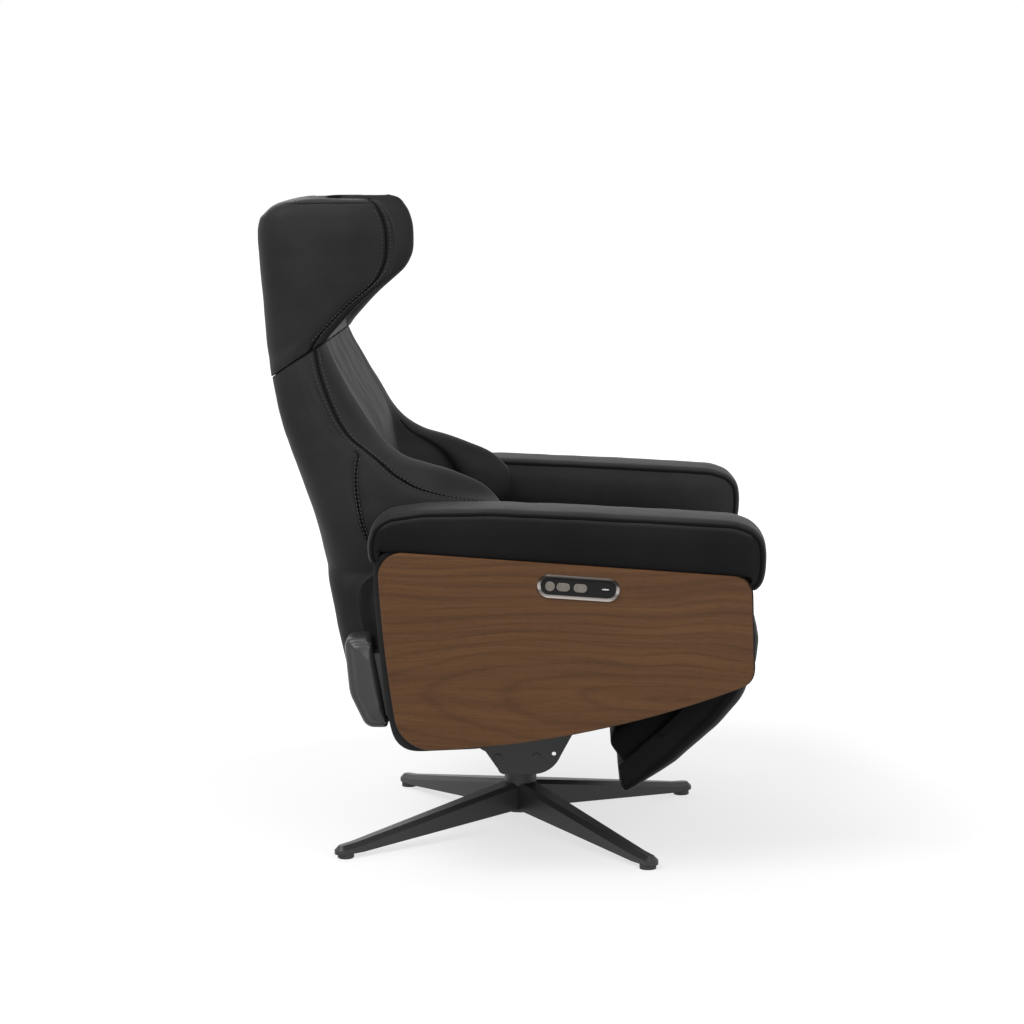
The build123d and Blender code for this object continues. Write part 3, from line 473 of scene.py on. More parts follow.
def stitchTree():
    tree = bpy.data.node_groups.new("stitchRows", "GeometryNodeTree")
    face = tree.interface
    face.new_socket("Geometry", in_out="INPUT", socket_type="NodeSocketGeometry")
    ids = {}
    for label in ("Pitch", "Long", "Thick"):
        sock = face.new_socket(label, in_out="INPUT", socket_type="NodeSocketFloat")
        sock.default_value = stitchSize[label.lower()] * mm
        ids[label] = sock.identifier
    face.new_socket("Geometry", in_out="OUTPUT", socket_type="NodeSocketGeometry")
    add, link = tree.nodes.new, tree.links.new
    gin, gout = add("NodeGroupInput"), add("NodeGroupOutput")
    curve, even = add("GeometryNodeMeshToCurve"), add("GeometryNodeResampleCurve")
    even.mode = "LENGTH"
    link(gin.outputs["Geometry"], curve.inputs["Mesh"])
    link(curve.outputs["Curve"], even.inputs["Curve"])
    link(gin.outputs["Pitch"], even.inputs["Length"])
    thread = add("GeometryNodeMeshUVSphere")
    thread.inputs["Segments"].default_value = 6
    thread.inputs["Rings"].default_value = 5
    thread.inputs["Radius"].default_value = 1.0
    half = add("ShaderNodeVectorMath")
    half.operation = "SCALE"
    half.inputs["Scale"].default_value = 0.5
    size = add("ShaderNodeCombineXYZ")
    link(gin.outputs["Thick"], size.inputs["X"])
    link(gin.outputs["Thick"], size.inputs["Y"])
    link(gin.outputs["Long"], size.inputs["Z"])
    link(size.outputs["Vector"], half.inputs[0])
    shaped = add("GeometryNodeTransform")
    link(thread.outputs["Mesh"], shaped.inputs["Geometry"])
    link(half.outputs["Vector"], shaped.inputs["Scale"])
    tangent, turn = add("GeometryNodeInputTangent"), add("FunctionNodeAlignRotationToVector")
    turn.axis = "Z"
    link(tangent.outputs["Tangent"], turn.inputs["Vector"])
    rows = add("GeometryNodeInstanceOnPoints")
    link(even.outputs["Curve"], rows.inputs["Points"])
    link(shaped.outputs["Geometry"], rows.inputs["Instance"])
    link(turn.outputs["Rotation"], rows.inputs["Rotation"])
    real, paint = add("GeometryNodeRealizeInstances"), add("GeometryNodeSetMaterial")
    paint.inputs["Material"].default_value = materials["thread"]
    link(rows.outputs["Instances"], real.inputs["Geometry"])
    link(real.outputs["Geometry"], paint.inputs["Geometry"])
    link(paint.outputs["Geometry"], gout.inputs["Geometry"])
    return tree, ids


stitchNodes, stitchIds = stitchTree()


def sewStitches(name, body, paths):  # paths are lists of points on the leather
    verts, edges = [], []
    for path in paths:
        first = len(verts)
        verts += [tuple(np.asarray(p) * mm) for p in path]
        edges += [(i, i + 1) for i in range(first, len(verts) - 1)]
    guide = bpy.data.meshes.new(name + "Guide")
    guide.from_pydata(verts, edges, [])
    obj = bpy.data.objects.new(name, guide)
    bpy.context.scene.collection.objects.link(obj)
    rows = obj.modifiers.new("stitches", "NODES")
    rows.node_group = stitchNodes
    for label in ("Pitch", "Long", "Thick"):
        rows[stitchIds[label]] = stitchSize[label.lower()] * mm
    ready = obj.evaluated_get(bpy.context.evaluated_depsgraph_get())
    plain = bpy.data.meshes.new_from_object(ready)
    obj.modifiers.remove(rows)
    obj.data = plain
    for f in plain.polygons:
        f.use_smooth = True
    finishPiece(obj, body, material="thread")


# back and headrest: stacked rings, tilted toward the seam between them

backShape = dict(
    rear=[(237, 196), (240, 216), (246, 236), (260, 250), (281, 259), (302, 266), (335, 277), (368, 284), (402, 291),
          (470, 303), (529, 315), (588, 330), (663, 354), (738, 377), (811, 393), (870, 401)],
    seam=[(247, 184), (300, 191), (420, 214), (440, 218), (455, 219), (466, 214), (474, 204), (482, 188), (490, 164),
          (505, 118), (525, 70), (545, 44), (565, 33), (590, 31), (602, 36), (610, 54), (618, 103), (628, 143),
          (648, 184), (675, 216), (695, 240), (711, 260), (736, 279), (769, 295), (801, 307), (834, 316), (870, 321)],
    sideSeam=[(247, 215), (300, 222), (440, 248), (500, 240), (539, 237), (559, 242), (589, 249), (622, 254),
              (650, 255), (676, 252), (690, 250), (711, 276), (736, 297), (769, 315), (801, 328), (834, 338),
              (870, 344)],
    nose=[(247, 170), (300, 183), (420, 207), (440, 212), (450, 214), (462, 210), (474, 194), (482, 174), (492, 144),
          (510, 98), (530, 54), (550, 29), (570, 20), (590, 18), (606, 23), (616, 31), (623, 38), (635, 52),
          (642, 64.5), (651, 86), (665, 128), (676, 165), (695, 198), (719, 222), (754, 245), (788, 266), (828, 287),
          (870, 306)],
    centre=[(247, 168), (300, 180.5), (440, 215.4), (446, 212), (452, 200), (458, 188), (466, 178), (476, 173),
            (490, 171), (520, 173), (555, 181), (590, 193), (630, 207), (680, 219), (720, 230), (754, 247),
            (788, 267), (828, 288), (846, 297), (870, 305)],
    width=[(247, 252), (256, 266), (270, 273), (300, 278), (640, 279), (700, 276), (760, 269), (820, 260),
           (870, 252)],
    noseX=[(247, 246), (470, 244), (520, 236), (680, 236), (740, 226), (800, 222), (870, 218)],
    creaseX=[(247, 178), (560, 176), (640, 170), (700, 176), (800, 186), (870, 194)],
    corner=[(247, 18), (270, 40), (300, 58), (700, 62), (870, 60)],
    bow=[(247, 0), (446, 0), (470, 5), (640, 5), (700, 3), (740, 1), (870, 0.5)], crease=[(247, 1), (870, 0.3)],
    sideDeep=[(247, 0), (505, 0), (540, 2), (676, 2.2), (692, 0.6), (702, 0), (870, 0)],
    tilt=(700, 862), tiltTo=0.627, seamDeep=4.6, rearBulge=6, wedge=3.5, sewnFrom=492, pull=(1.5, 24), topSeam=None,
    levels=[237, 238.5, 241, 245, 252, 261, 270, 279] + list(np.arange(288, 597, 6.5))
    + list(np.arange(600, 702, 3.2)) + list(np.arange(706, 848, 5)) + [850, 854, 857.5, 859.4, 860.2],
    inset={-1: 1.3, -2: 0.3})
headShape = dict(
    rear=[(800, 394), (848, 402), (937, 409), (1002, 413), (1043, 414), (1060, 411.5), (1075, 406), (1084, 399),
          (1092, 387), (1097, 373), (1100, 360), (1102, 350)],
    seam=[(800, 340), (862, 324), (876, 316), (895, 298), (927, 265), (954, 233), (968, 219), (991, 206), (1023, 201),
          (1059, 204), (1076, 210), (1083, 214), (1091, 220), (1097, 229), (1102, 244)],
    sideSeam=[(800, 372), (862, 366), (895, 350), (954, 310), (1023, 300), (1102, 300)],
    nose=[(800, 330), (862, 306), (876, 298), (895, 281), (927, 249), (954, 217), (968, 203), (991, 190), (1023, 186),
          (1059, 190), (1076, 197), (1083, 202), (1091, 208), (1097, 217), (1100, 228), (1102, 240)],
    centre=[(800, 312), (858, 305), (874, 305), (890, 308), (905, 311), (935, 311), (960, 309), (990, 304),
            (1020, 301), (1050, 304), (1066, 308), (1078, 314), (1087, 322), (1094, 331), (1099, 341), (1102, 347)],
    width=[(800, 247), (862, 248), (1000, 248), (1060, 247.5), (1080, 244), (1090, 239), (1097, 231), (1101, 222)],
    noseX=[(800, 224), (900, 233), (1060, 235), (1090, 229), (1102, 221)],
    creaseX=[(800, 192), (900, 180), (1060, 178), (1102, 190)],
    corner=[(800, 58), (1040, 56), (1102, 40)],
    bow=[(800, 0), (880, -2), (930, -10), (1050, -12), (1090, -8), (1102, 0)],
    crease=[(800, 1), (900, 4), (1060, 5), (1102, 0)],
    sideDeep=[(800, 0), (1102, 0)],
    tilt=(1010, 862), tiltTo=0.627, seamDeep=3.8, rearBulge=2, wedge=0, sewnFrom=0, pull=(6, 52), topSeam=1092.2,
    levels=[860.3, 861.1, 863, 867, 871] + list(np.arange(876, 1040, 5)) + list(np.arange(1043, 1076, 4))
    + [1079, 1083, 1087, 1089.4, 1091, 1092.2, 1093.4, 1095, 1097, 1099, 1100.5],
    inset={0: 1.3, 1: 0.3})
ringCounts = dict(rear=8, corner=7, sideBack=5, sideFront=6, roll=9, inner=16)
ringForm = dict(  # offsets round one ring, from the tilt line to the seams and the crease
    tiltY=316.0, leastCorner=6, cornerShare=0.55, topCut=0.75, behindSeam=17, beforeRear=6, swell=1.5,
    besideSplit=4, sideGroove=((2.4, 0.35), (0, 1.0), (-2.4, 0.35)), deepEnough=0.4, besideSeam=7.5,
    mainGroove=((6.5, 0.0), (2.8, 0.8), (0, None), (-2.8, 0.8), (-6.5, -0.3)), rollStart=6.5,
    innerEase=0.85, creaseFrom=5, innerSewn=(545, 698), nip=1.5, padEase=1.25, creaseTo=12)
ringKeys = ("rear", "seam", "sideSeam", "nose", "centre", "width", "noseX", "creaseX", "corner", "bow", "crease",
            "sideDeep")
# painted shade levels: along seam grooves, along the headrest's top seam and on the end rings where back and headrest
# meet
seamShadeLevels = dict(groove=((-1, 0.2), (0, 1.0), (1, 0.2)), top=0.8, end=0.85)
endInset = dict(midShare=0.55, least=40)
mirrorX = np.array([-1, 1, 1])


def halfRing(shape, curves, base, topSeam):
    form, n, pts, seamAt = ringForm, ringCounts, [], []
    lean = shape["tiltTo"] * smoothStep((base - shape["tilt"][0]) / (shape["tilt"][1] - shape["tilt"][0]))

    def solve(key):  # value of a curve where the tilted ring meets it
        y = form["tiltY"]
        for _ in range(6):
            y = float(curves[key](base - lean * (y - form["tiltY"])))
        return y
    rear, seam, nose, centre = (solve(k) for k in ("rear", "seam", "nose", "centre"))
    at = base - lean * (seam - form["tiltY"])
    width, noseX, creaseX = (float(curves[k](at)) for k in ("width", "noseX", "creaseX"))
    corner = min(float(curves["corner"](base)), max(form["leastCorner"], (rear - seam) * form["cornerShare"]))
    deep = shape["seamDeep"]
    pull, reach = shape["pull"]  # the side draws in toward the main seam

    def side(x, y):
        return x - pull * max(0.0, 1 - max(0.0, y - seam) / reach)**2, y
    for k in range(n["rear"]):
        x = (width - corner) * k / n["rear"]
        pts.append((x, rear + shape["rearBulge"] * (1 - (x / width)**2)))
    low = rear + shape["rearBulge"] * (1 - ((width - corner) / width)**2)
    for k in range(n["corner"]):
        a = math.pi / 2 * k / n["corner"]
        pts.append((width - corner + corner * math.sin(a), low - corner * (1 - math.cos(a))))
    sideRear = low - corner
    cut = deep * form["topCut"] if topSeam else 0
    split = min(max(float(curves["sideSeam"](at)), seam + form["behindSeam"]), sideRear - form["beforeRear"])
    sideDeep = float(curves["sideDeep"](at))
    for k in range(n["sideBack"]):
        t = k / n["sideBack"]
        swell = form["swell"] * math.sin(math.pi * t) if shape["wedge"] else 0
        pts.append(side(width + swell - cut, sideRear + (split + form["besideSplit"] - sideRear) * t))
    for off, share in form["sideGroove"]:
        if off == 0 and sideDeep > form["deepEnough"]:
            seamAt.append(len(pts))
        pts.append(side(width - cut - sideDeep * share, split + off))
    puffed = shape["wedge"] * min(1.0, sideDeep / 2)
    start = split - form["besideSplit"]
    for k in range(n["sideFront"]):
        t = (k + 1) / (n["sideFront"] + 1)
        pts.append(side(width + puffed * math.sin(math.pi * t) - cut, start + (seam + form["besideSeam"] - start) * t))
    for off, dip in form["mainGroove"]:
        if off == 0:
            mainSeam, dip = len(pts), deep
        pts.append(side(width - dip, seam + off))
    width -= pull
    start = seam - form["rollStart"]
    for k in range(1, n["roll"] + 1):
        t = k / n["roll"]
        a = math.pi / 2 * t
        pts.append((noseX + (width - noseX) * (0.5 * (1 - t) + 0.5 * math.cos(a)),
                    start + (nose - start) * (0.5 * t + 0.5 * math.sin(a))))
    tip = len(pts) - 1
    bow, crease = float(curves["bow"](at)), float(curves["crease"](at))
    creaseY = centre + bow
    for k in range(1, n["inner"] + 1):
        t = k / n["inner"]
        dip = crease * max(0, 1 - (1 - t) * (noseX - creaseX) / form["creaseFrom"])**2
        pts.append((noseX - (noseX - creaseX) * t**form["innerEase"], nose + (creaseY - nose) * smoothStep(t) + dip))
        if k == n["inner"] // 2 and shape["wedge"] and form["innerSewn"][0] < at < form["innerSewn"][1]:
            seamAt.append(len(pts) - 1)  # sewn line on the bolster's inner side, darkened with painted shade
            pts[-1] = (pts[-1][0] + form["nip"], pts[-1][1] + form["nip"])
    left = tip - n["inner"]
    for k in range(1, left + 1):
        x = creaseX * (1 - k / left)**form["padEase"]
        y = centre + bow * (x / creaseX)**2 + crease * max(0, 1 - (creaseX - x) / form["creaseTo"])**2
        pts.append((x, y))
    pts = np.array(pts)
    z = base - lean * (pts[:, 1] - form["tiltY"])
    return np.column_stack([pts, z]), tip, [mainSeam] + seamAt


def ringBody(name, shape):
    curves = {k: throughPoints(shape[k]) for k in ringKeys}
    rings, mask, seamLine, sideLine, levels = [], [], [], [], shape["levels"]
    groove = ringCounts["rear"] + ringCounts["corner"] + ringCounts["sideBack"] + 1
    for i, base in enumerate(levels):
        topSeam = base == shape["topSeam"]
        half, tip, seamAt = halfRing(shape, curves, base, topSeam)
        m = len(half) - 1
        inset = shape["inset"].get(i, shape["inset"].get(i - len(levels), 0))
        if inset:
            mid = half[[0, tip, m]].mean(0)
            for p in half:
                away = p[:2] - mid[:2] * np.array([endInset["midShare"], 1])
                p[:2] -= inset * away / max(endInset["least"], np.linalg.norm(away))
            half[0, 0] = half[m, 0] = 0
        other = half[1:m][::-1] * mirrorX
        rings.append(np.vstack([half, other]))
        shade = np.zeros(len(rings[-1]))
        # painted shade along each seam groove
        for s in seamAt if base > shape["sewnFrom"] else ():
            for k, v in seamShadeLevels["groove"]:
                shade[s + k] = shade[(2 * m - s - k) % (2 * m)] = v
        # painted shade along the headrest's top seam
        if topSeam:
            shade[ringCounts["rear"]:seamAt[0]] = seamShadeLevels["top"]
            shade[2 * m - seamAt[0]:2 * m - ringCounts["rear"]] = seamShadeLevels["top"]
        # painted shade on the end rings, where back and headrest meet
        if inset:
            shade[:] = seamShadeLevels["end"]
        mask.append(shade)
        seamLine.append(half[seamAt[0] - 3:seamAt[0] + 4])
        sideLine.append(half[groove - 2:groove + 3])
    m = len(rings[0]) // 2
    verts, faces = skinRings(rings)
    loop = [(tip - j, tip + j) for j in range(tip + 1)]
    loop += [((2 * m - (tip - j)) % (2 * m), (2 * m - (tip + j)) % (2 * m)) for j in range(tip - 1, -1, -1)]
    capStrip(verts, faces, loop, rows=2, puff=(0, 0, -1.0))
    top = (len(rings) - 1) * 2 * m
    capStrip(verts, faces, [(a + top, b + top) for a, b in loop], rows=2, puff=(0, 0, 1.2))
    return makePiece(name, verts, faces, np.concatenate(mask)), np.array(seamLine), np.array(sideLine)


def shadePart(obj, level):  # painted shade: darkens the leather on part of a piece
    layer = obj.data.attributes["paintedShade"].data
    for v in obj.data.vertices:
        layer[v.index].value = max(layer[v.index].value, level(np.array(v.co) / mm))


def easeFolds(obj, test, rounds, allWays):
    bm = bmesh.new()
    bm.from_mesh(obj.data)
    picked = [v for v in bm.verts if test(np.array(v.co) / mm)]
    for _ in range(rounds):
        bmesh.ops.smooth_vert(bm, verts=picked, factor=0.5, use_axis_x=True, use_axis_y=allWays, use_axis_z=allWays)
    bm.to_mesh(obj.data)
    bm.free()


gatherForm = dict(cutOff=2.2, seamGap=4, fade=14, even=0.6, uneven=0.8, drift=(0.03, 0.02, 4.2))


def gatherAlong(obj, line, wave, reach, deep, span):  # small gathers square to a seam
    form, mesh, line = gatherForm, obj.data, np.asarray(line)
    run = np.concatenate(([0], np.cumsum(np.linalg.norm(np.diff(line, axis=0), axis=1))))
    for v in mesh.vertices:
        p = np.array(v.co) / mm
        q = np.array([abs(p[0]), p[1], p[2]])
        gap = np.linalg.norm(line - q, axis=1)
        i = int(gap.argmin())
        if gap[i] > reach * form["cutOff"] or not span[0] < line[i][2] < span[1]:
            continue
        fall = math.exp(-(gap[i] / reach)**2) * (1 - math.exp(-(gap[i] / form["seamGap"])**2))
        edge = min(1, (line[i][2] - span[0]) / form["fade"], (span[1] - line[i][2]) / form["fade"])
        along, across, start = form["drift"]
        drift = noise.noise(Vector((run[i] * along, p[0] * across, start)))
        beat = math.sin(2 * math.pi * run[i] / wave) * (form["even"] + form["uneven"] * drift)
        v.co += v.normal * (deep * mm * fall * edge * beat)
    mesh.update()


def bothSides(path):
    path = np.asarray(path, float)
    return [path, path * mirrorX]


rodRoom = dict(half=52, fade=20, front=215, back=16, backBelow=318, backFade=40, up=14, upBelow=275, upFade=38)
innerShade = dict(level=0.38, half=226, fade=40, low=640, rise=60, front=210, lean=0.62)


def innerDark(p):  # painted shade on the inner side of the bolsters
    s = innerShade
    if p[1] >= s["front"] + (p[2] - s["low"]) * s["lean"]:
        return 0
    return s["level"] * smoothStep((s["half"] - abs(p[0])) / s["fade"]) * smoothStep((p[2] - s["low"]) / s["rise"])


def onWingTop(p):  # where wing and pad meet on top
    return p[2] > 1072 and 90 < abs(p[0]) < 222


def onLowerSide(p):  # plain lower sides of the back
    return 300 < p[2] < 496 and abs(p[0]) > 262 and 205 < p[1] < 275


def nearRest(p):  # keeps the slow fullness off the lower, hidden part
    return min(1.0, max(0.0, (p[2] - 300) / 80))


backBody, backSeam, backSide = ringBody("backUpholstery", backShape)
for v in backBody.data.vertices:  # hollow for the recline rod below the board
    p = np.array(v.co) / mm
    room = smoothStep((rodRoom["half"] - abs(p[0])) / rodRoom["fade"])
    if p[1] < rodRoom["front"]:
        v.co.y += rodRoom["back"] * mm * room * smoothStep((rodRoom["backBelow"] - p[2]) / rodRoom["backFade"])
    v.co.z += rodRoom["up"] * mm * room * smoothStep((rodRoom["upBelow"] - p[2]) / rodRoom["upFade"])
shadePart(backBody, innerDark)
headBody, headSeam, _ = ringBody("headUpholstery", headShape)
easeFolds(headBody, onWingTop, rounds=16, allWays=True)
easeFolds(backBody, onLowerSide, rounds=14, allWays=False)
ripple(backBody, size=74, deep=2.0, seed=3, keep=nearRest)
ripple(headBody, size=66, deep=1.3, seed=5)
gatherAlong(backBody, backSeam[:, 3], wave=15, reach=17, deep=1.5, span=(606, 720))
gatherAlong(headBody, headSeam[:, 3], wave=13, reach=13, deep=0.8, span=(866, 965))
finishPiece(backBody, "back", ("back_shell", "back_cushion", "bolster_right", "bolster_left"))
finishPiece(headBody, "headrest", ("headrest_pad", "wing_right", "wing_left"))
print("stage: back and headrest")


def rowsBeside(line, columns, middle, low, high, lift):  # two stitch rows, one on each side of a seam
    rows = []
    for k in columns:
        rows += bothSides([r[k] + np.array([lift, 0, 0]) for r in line if low < r[middle][2] < high])
    return rows


mainRows = dict(columns=(1, 5), middle=3, lift=0.7)
sideRows = rowsBeside(backSide, columns=(1, 3), middle=2, low=520, high=682, lift=1.0)
sewStitches("backStitches", "back", rowsBeside(backSeam, low=606, high=848, **mainRows) + sideRows)
sewStitches("headStitches", "headrest", rowsBeside(headSeam, low=868, high=1082, **mainRows))


# pieces swept across the chair: two matched paths, drawn in toward the ends

def sweepBody(name, front, back, stations, rows, puff):
    n = len(front)
    turn = inward(front, (front.mean(0) + back.mean(0)) / 2)
    rings, mask = [], []
    for s in stations:
        draw = np.asarray(s["draw"], float) * np.ones(n)
        ring = np.vstack([front + turn * draw[:, None], s.get("back", back)])
        across = np.concatenate([np.full(n, s["x"]), np.full(n, s.get("backX", s["x"]))])
        rings.append(np.column_stack([across, ring]))
        shade = np.zeros(2 * n)
        shade[:n] = s.get("shade", 0)
        mask.append(shade)
    verts, faces = skinRings(rings)
    cols = [(i, 2 * n - 1 - i) for i in range(n)]
    side = np.sign(stations[-1]["x"] - stations[0]["x"])
    capStrip(verts, faces, cols, rows, (-puff * side, 0, 0))
    top = (len(rings) - 1) * 2 * n
    capStrip(verts, faces, [(a + top, b + top) for a, b in cols], rows, (puff * side, 0, 0))
    return makePiece(name, verts, faces, np.concatenate(mask))


def mirrored(stations, middle):  # middle: the last station lies on the chair's middle and isn't doubled
    return stations + [dict(st, x=-st["x"]) for st in (stations[-2::-1] if middle else stations[::-1])]


armShape = dict(inner=289, outer=411.5, round=16, crown=2.5, seamIn=3.0, seamDeep=5.0, seamHalf=0.8, besideHalf=1.6,
                besideDeep=0.8, besideShade=0.7, bulge=5.0, tuck=6.5, tuckRun=20)
armShade = dict(level=0.6, fromOuter=7.5, underRidge=13, ridgeAbove=540)
armTop = spread(roundPath([(221.5, 527, 0), (226.5, 536, 8), (228, 558, 30), (221, 588, 30), (196, 605, 40),
                           (140, 612.5, 60), (40, 613.5, 90), (-100, 606.5, 120), (-250, 597.5, 90), (-352, 590.5, 40),
                           (-382, 580, 30), (-399, 561, 26), (-401.5, 535, 30), (-399.5, 506, 20), (-394, 487, 12),
                           (-382, 478.5, 0)], 6), 84)
armUnder = spread(roundPath([(-379.5, 481, 0), (-379, 492, 6), (-377, 501.5, 26), (-330, 506, 20), (60, 537, 40),
                             (217.5, 548.5, 34), (218.5, 541, 4), (218.5, 531, 0)], 6), 84)
armRidge = armTop[armTop[:, 1] > armShade["ridgeAbove"]][::-1]


def armStations(side, shape):
    wide = shape["outer"] - shape["inner"]
    steps = [0, 0.9, 1.7, 2.6, 3.5, 4.4, 5.4, 8, 12, 17, 24, 36, 50]
    steps = steps + [wide / 2] + [wide - s for s in steps[::-1]]
    out = []
    for s in steps:
        edge = min(s, wide - s)
        draw = edgeDrop(shape["round"], edge) - shape["crown"] * (1 - (2 * s / wide - 1)**2)
        shade = 0
        # painted shade in the top seam's groove and, lighter, beside it
        if abs(edge - shape["seamIn"]) < shape["seamHalf"]:
            draw, shade = draw + shape["seamDeep"], 1.0
        elif abs(edge - shape["seamIn"]) < shape["besideHalf"]:
            draw, shade = draw + shape["besideDeep"], shape["besideShade"]
        tuck = shape["tuck"] * max(0, 1 - (wide - s) / shape["tuckRun"])
        out.append(dict(x=side * (shape["inner"] + s), draw=draw, shade=shade,
                        backX=side * (shape["inner"] + s - tuck)))
    return out


def armDark(p):  # painted shade on the outer side, down to its tucked lower edge
    ridge = np.interp(p[1], armRidge[:, 0], armRidge[:, 1])
    outside = abs(p[0]) > armShape["outer"] - armShade["fromOuter"]
    return armShade["level"] if outside and p[2] < ridge - armShade["underRidge"] else 0


def armKeep(p):  # the top panel is the part that wrinkles
    return 1.0 if p[2] > 560 else 0.4


for side, label in ((-1, "right"), (1, "left")):
    armPad = sweepBody("armPad_" + label, armTop, armUnder, armStations(side, armShape), 5, armShape["bulge"])
    shadePart(armPad, armDark)
    ripple(armPad, size=46, deep=1.0, seed=8 + side, keep=armKeep)
    finishPiece(armPad, "seat_unit", ("arm_pad_" + label,))

frameShape = dict(inner=290, outer=396.6, round=9, rim=6.5, gap=0.3, centre=(-90.0, 390.0), points=160)
frameLoop = roundPath([(-383, 420, 0), (-386, 329, 34), (-250, 286, 130), (-97, 248, 200), (60, 226, 120),
                       (189, 221, 62), (205, 300, 90), (213, 387, 160), (220, 470, 90), (221, 550.6, 40),
                       (-381.5, 503.4, 32), (-383, 420, 0)], 8)
frameLoop = spread(frameLoop, frameShape["points"] + 1)
frameTurn = inward(frameLoop, np.array(frameShape["centre"]))[:-1]
frameLoop = frameLoop[:-1]
frameWide = frameShape["outer"] - frameShape["inner"]
for side, label in ((-1, "right"), (1, "left")):
    rings, n = [], frameShape["points"]
    for s in (0, 1, 3, 6, 10, 20, 50, 80, frameWide - 8, frameWide - 5, frameWide - 2, frameWide - 0.5, frameWide):
        edge = s if s < frameWide / 2 else frameShape["rim"] + frameWide - s  # the rim under the panel stays square
        ring = frameLoop + frameTurn * (edgeDrop(frameShape["round"], edge) + frameShape["gap"])
        rings.append(np.column_stack([np.full(n, side * (frameShape["inner"] + s)), ring]))
    verts, faces = skinRings(rings)
    cols = [(i, n - 1 - i) for i in range(n // 2)]
    last = (len(rings) - 1) * n
    for shift in (0, last):
        capStrip(verts, faces, [(a + shift, b + shift) for a, b in cols], rows=9, puff=(0, 0, 0))
    armFrame = makePiece("armSide_" + label, verts, faces)
    finishPiece(armFrame, "seat_unit", ("arm_frame_" + label,))
print("stage: arms")

seatShape = dict(half=284, round=22, roundShare=0.9, sag=3.2, sagRun=120, seamAt=11, seamDeep=2.6, crown=2)
seatTop = spread(roundPath([(147, 376, 0), (147.5, 432, 20), (132, 455, 22), (60, 462, 40), (-100, 474, 120),
                            (-280, 482, 80), (-340, 480, 30), (-366, 466, 20), (-373, 450, 12), (-366, 437.5, 6),
                            (-352, 437, 0)], 6), 70)
seatUnder = spread(roundPath([(-326, 436.6, 0), (-322, 434, 4), (-321, 376, 8), (-200, 374, 6), (60, 374, 6),
                              (140, 374, 0)], 5), 70)
seatStations = []
for s in (0, 1.5, 4, 8, 11, 14, 20, 32, 60, 110, 160, 220, 284):
    seam = s == seatShape["seamAt"]
    drop = edgeDrop(seatShape["round"], s) * seatShape["roundShare"]
    drop += seatShape["sag"] * max(0, 1 - s / seatShape["sagRun"])**2 + (seatShape["seamDeep"] if seam else 0)
    drop -= seatShape["crown"] * math.sin(math.pi * min(1, s / seatShape["half"]) / 2)
    # painted shade in the seam groove
    seatStations.append(dict(x=s - seatShape["half"], draw=drop, shade=1.0 if seam else 0))
seatBody = sweepBody("seatUpholstery", seatTop, seatUnder, mirrored(seatStations, middle=True), rows=3, puff=1.0)
ripple(seatBody, size=90, deep=2.2, seed=21, keep=lambda p: 1.0 if p[2] > 440 else 0.1)
finishPiece(seatBody, "seat_unit", ("seat_cushion",))


footShape = dict(origin=(-160, 158), lean=math.radians(42), half=267.5, rollRun=30, swell=13, swellRun=262, points=80,
                 yokeFrom=156, yokeTo=232, yokeDeep=20, lipY=-343, lipDeep=15.5, endShade=0.8, sideFrom=262,
                 sideShade=0.6)


def onFoot(s, t):  # s up the footrest's board, t out from its rear face
    (y, z), a = footShape["origin"], footShape["lean"]
    return (y - s * math.cos(a) + t * math.sin(a), z + s * math.sin(a) + t * math.cos(a))


footFront = spread(roundPath([(-344, 388, 0), (-352, 404, 14), (-372, 414.5, 18), (-394, 404, 18), (-400, 372, 40),
                              (-395, 335, 60), (-372, 278, 90), (-330, 228, 90), (-262, 170, 90), (-196, 126, 40),
                              (-180, 117.5, 10), (-171, 126, 10), onFoot(6, -6) + (0,)], 6), footShape["points"])
footBack = spread([onFoot(10, 0.2), onFoot(120, 0.2), onFoot(232, 0.2), (-341, 322), (-343.4, 340), (-343.4, 384)],
                  footShape["points"])
footDeep = footBack.copy()
for k, (y, z) in enumerate(footBack):  # room for the yoke
    up = ((y - footShape["origin"][0]) * -math.cos(footShape["lean"])
          + (z - footShape["origin"][1]) * math.sin(footShape["lean"]))
    if footShape["yokeFrom"] < up < footShape["yokeTo"]:
        footDeep[k] = onFoot(up, -footShape["yokeDeep"])
    elif up >= footShape["yokeTo"]:
        footDeep[k] = (min(y, footShape["lipY"]) - footShape["lipDeep"], z)
footStations = []
along = np.linspace(0, 1, footShape["points"])
rollSize = np.interp(along, [0, 0.1, 0.25, 0.6, 0.9, 1], [8, 18, 26, 22, 10, 3])
swellShare = np.interp(along, [0, 0.12, 0.4, 0.75, 0.9, 1], [0, 0.4, 1, 1, 0.3, 0])
for s in (0, 1.2, 3.5, 6, 9, 13, 18, 25, 40, 70, 110, 160, 210, 245):
    t = max(0, 1 - s / footShape["rollRun"])
    roll = rollSize * (1 - math.sqrt(max(0, 1 - t * t)))
    swell = footShape["swell"] * math.sin(math.pi / 2 * s / footShape["swellRun"]) * swellShare
    # painted shade on the end ring
    shade = footShape["endShade"] if s == 0 else 0
    footStations.append(dict(x=s - footShape["half"], draw=roll - swell, shade=shade))
tail = footStations[-1]
for x, back in ((-18.5, footBack), (-17, footDeep), (-8, footDeep)):
    footStations.append(dict(tail, x=x, back=back))
footBody = sweepBody("footUpholstery", footFront, footBack, mirrored(footStations, middle=False), rows=4, puff=1.2)
ripple(footBody, size=80, deep=1.6, seed=31, keep=lambda p: 1.0 if p[1] < -190 and abs(p[0]) < 258 else 0.15)
# painted shade on the footrest's sides
shadePart(footBody, lambda p: footShape["sideShade"] if abs(p[0]) > footShape["sideFrom"] else 0)
finishPiece(footBody, "footrest", ("footrest_cushion", "footrest_board"))
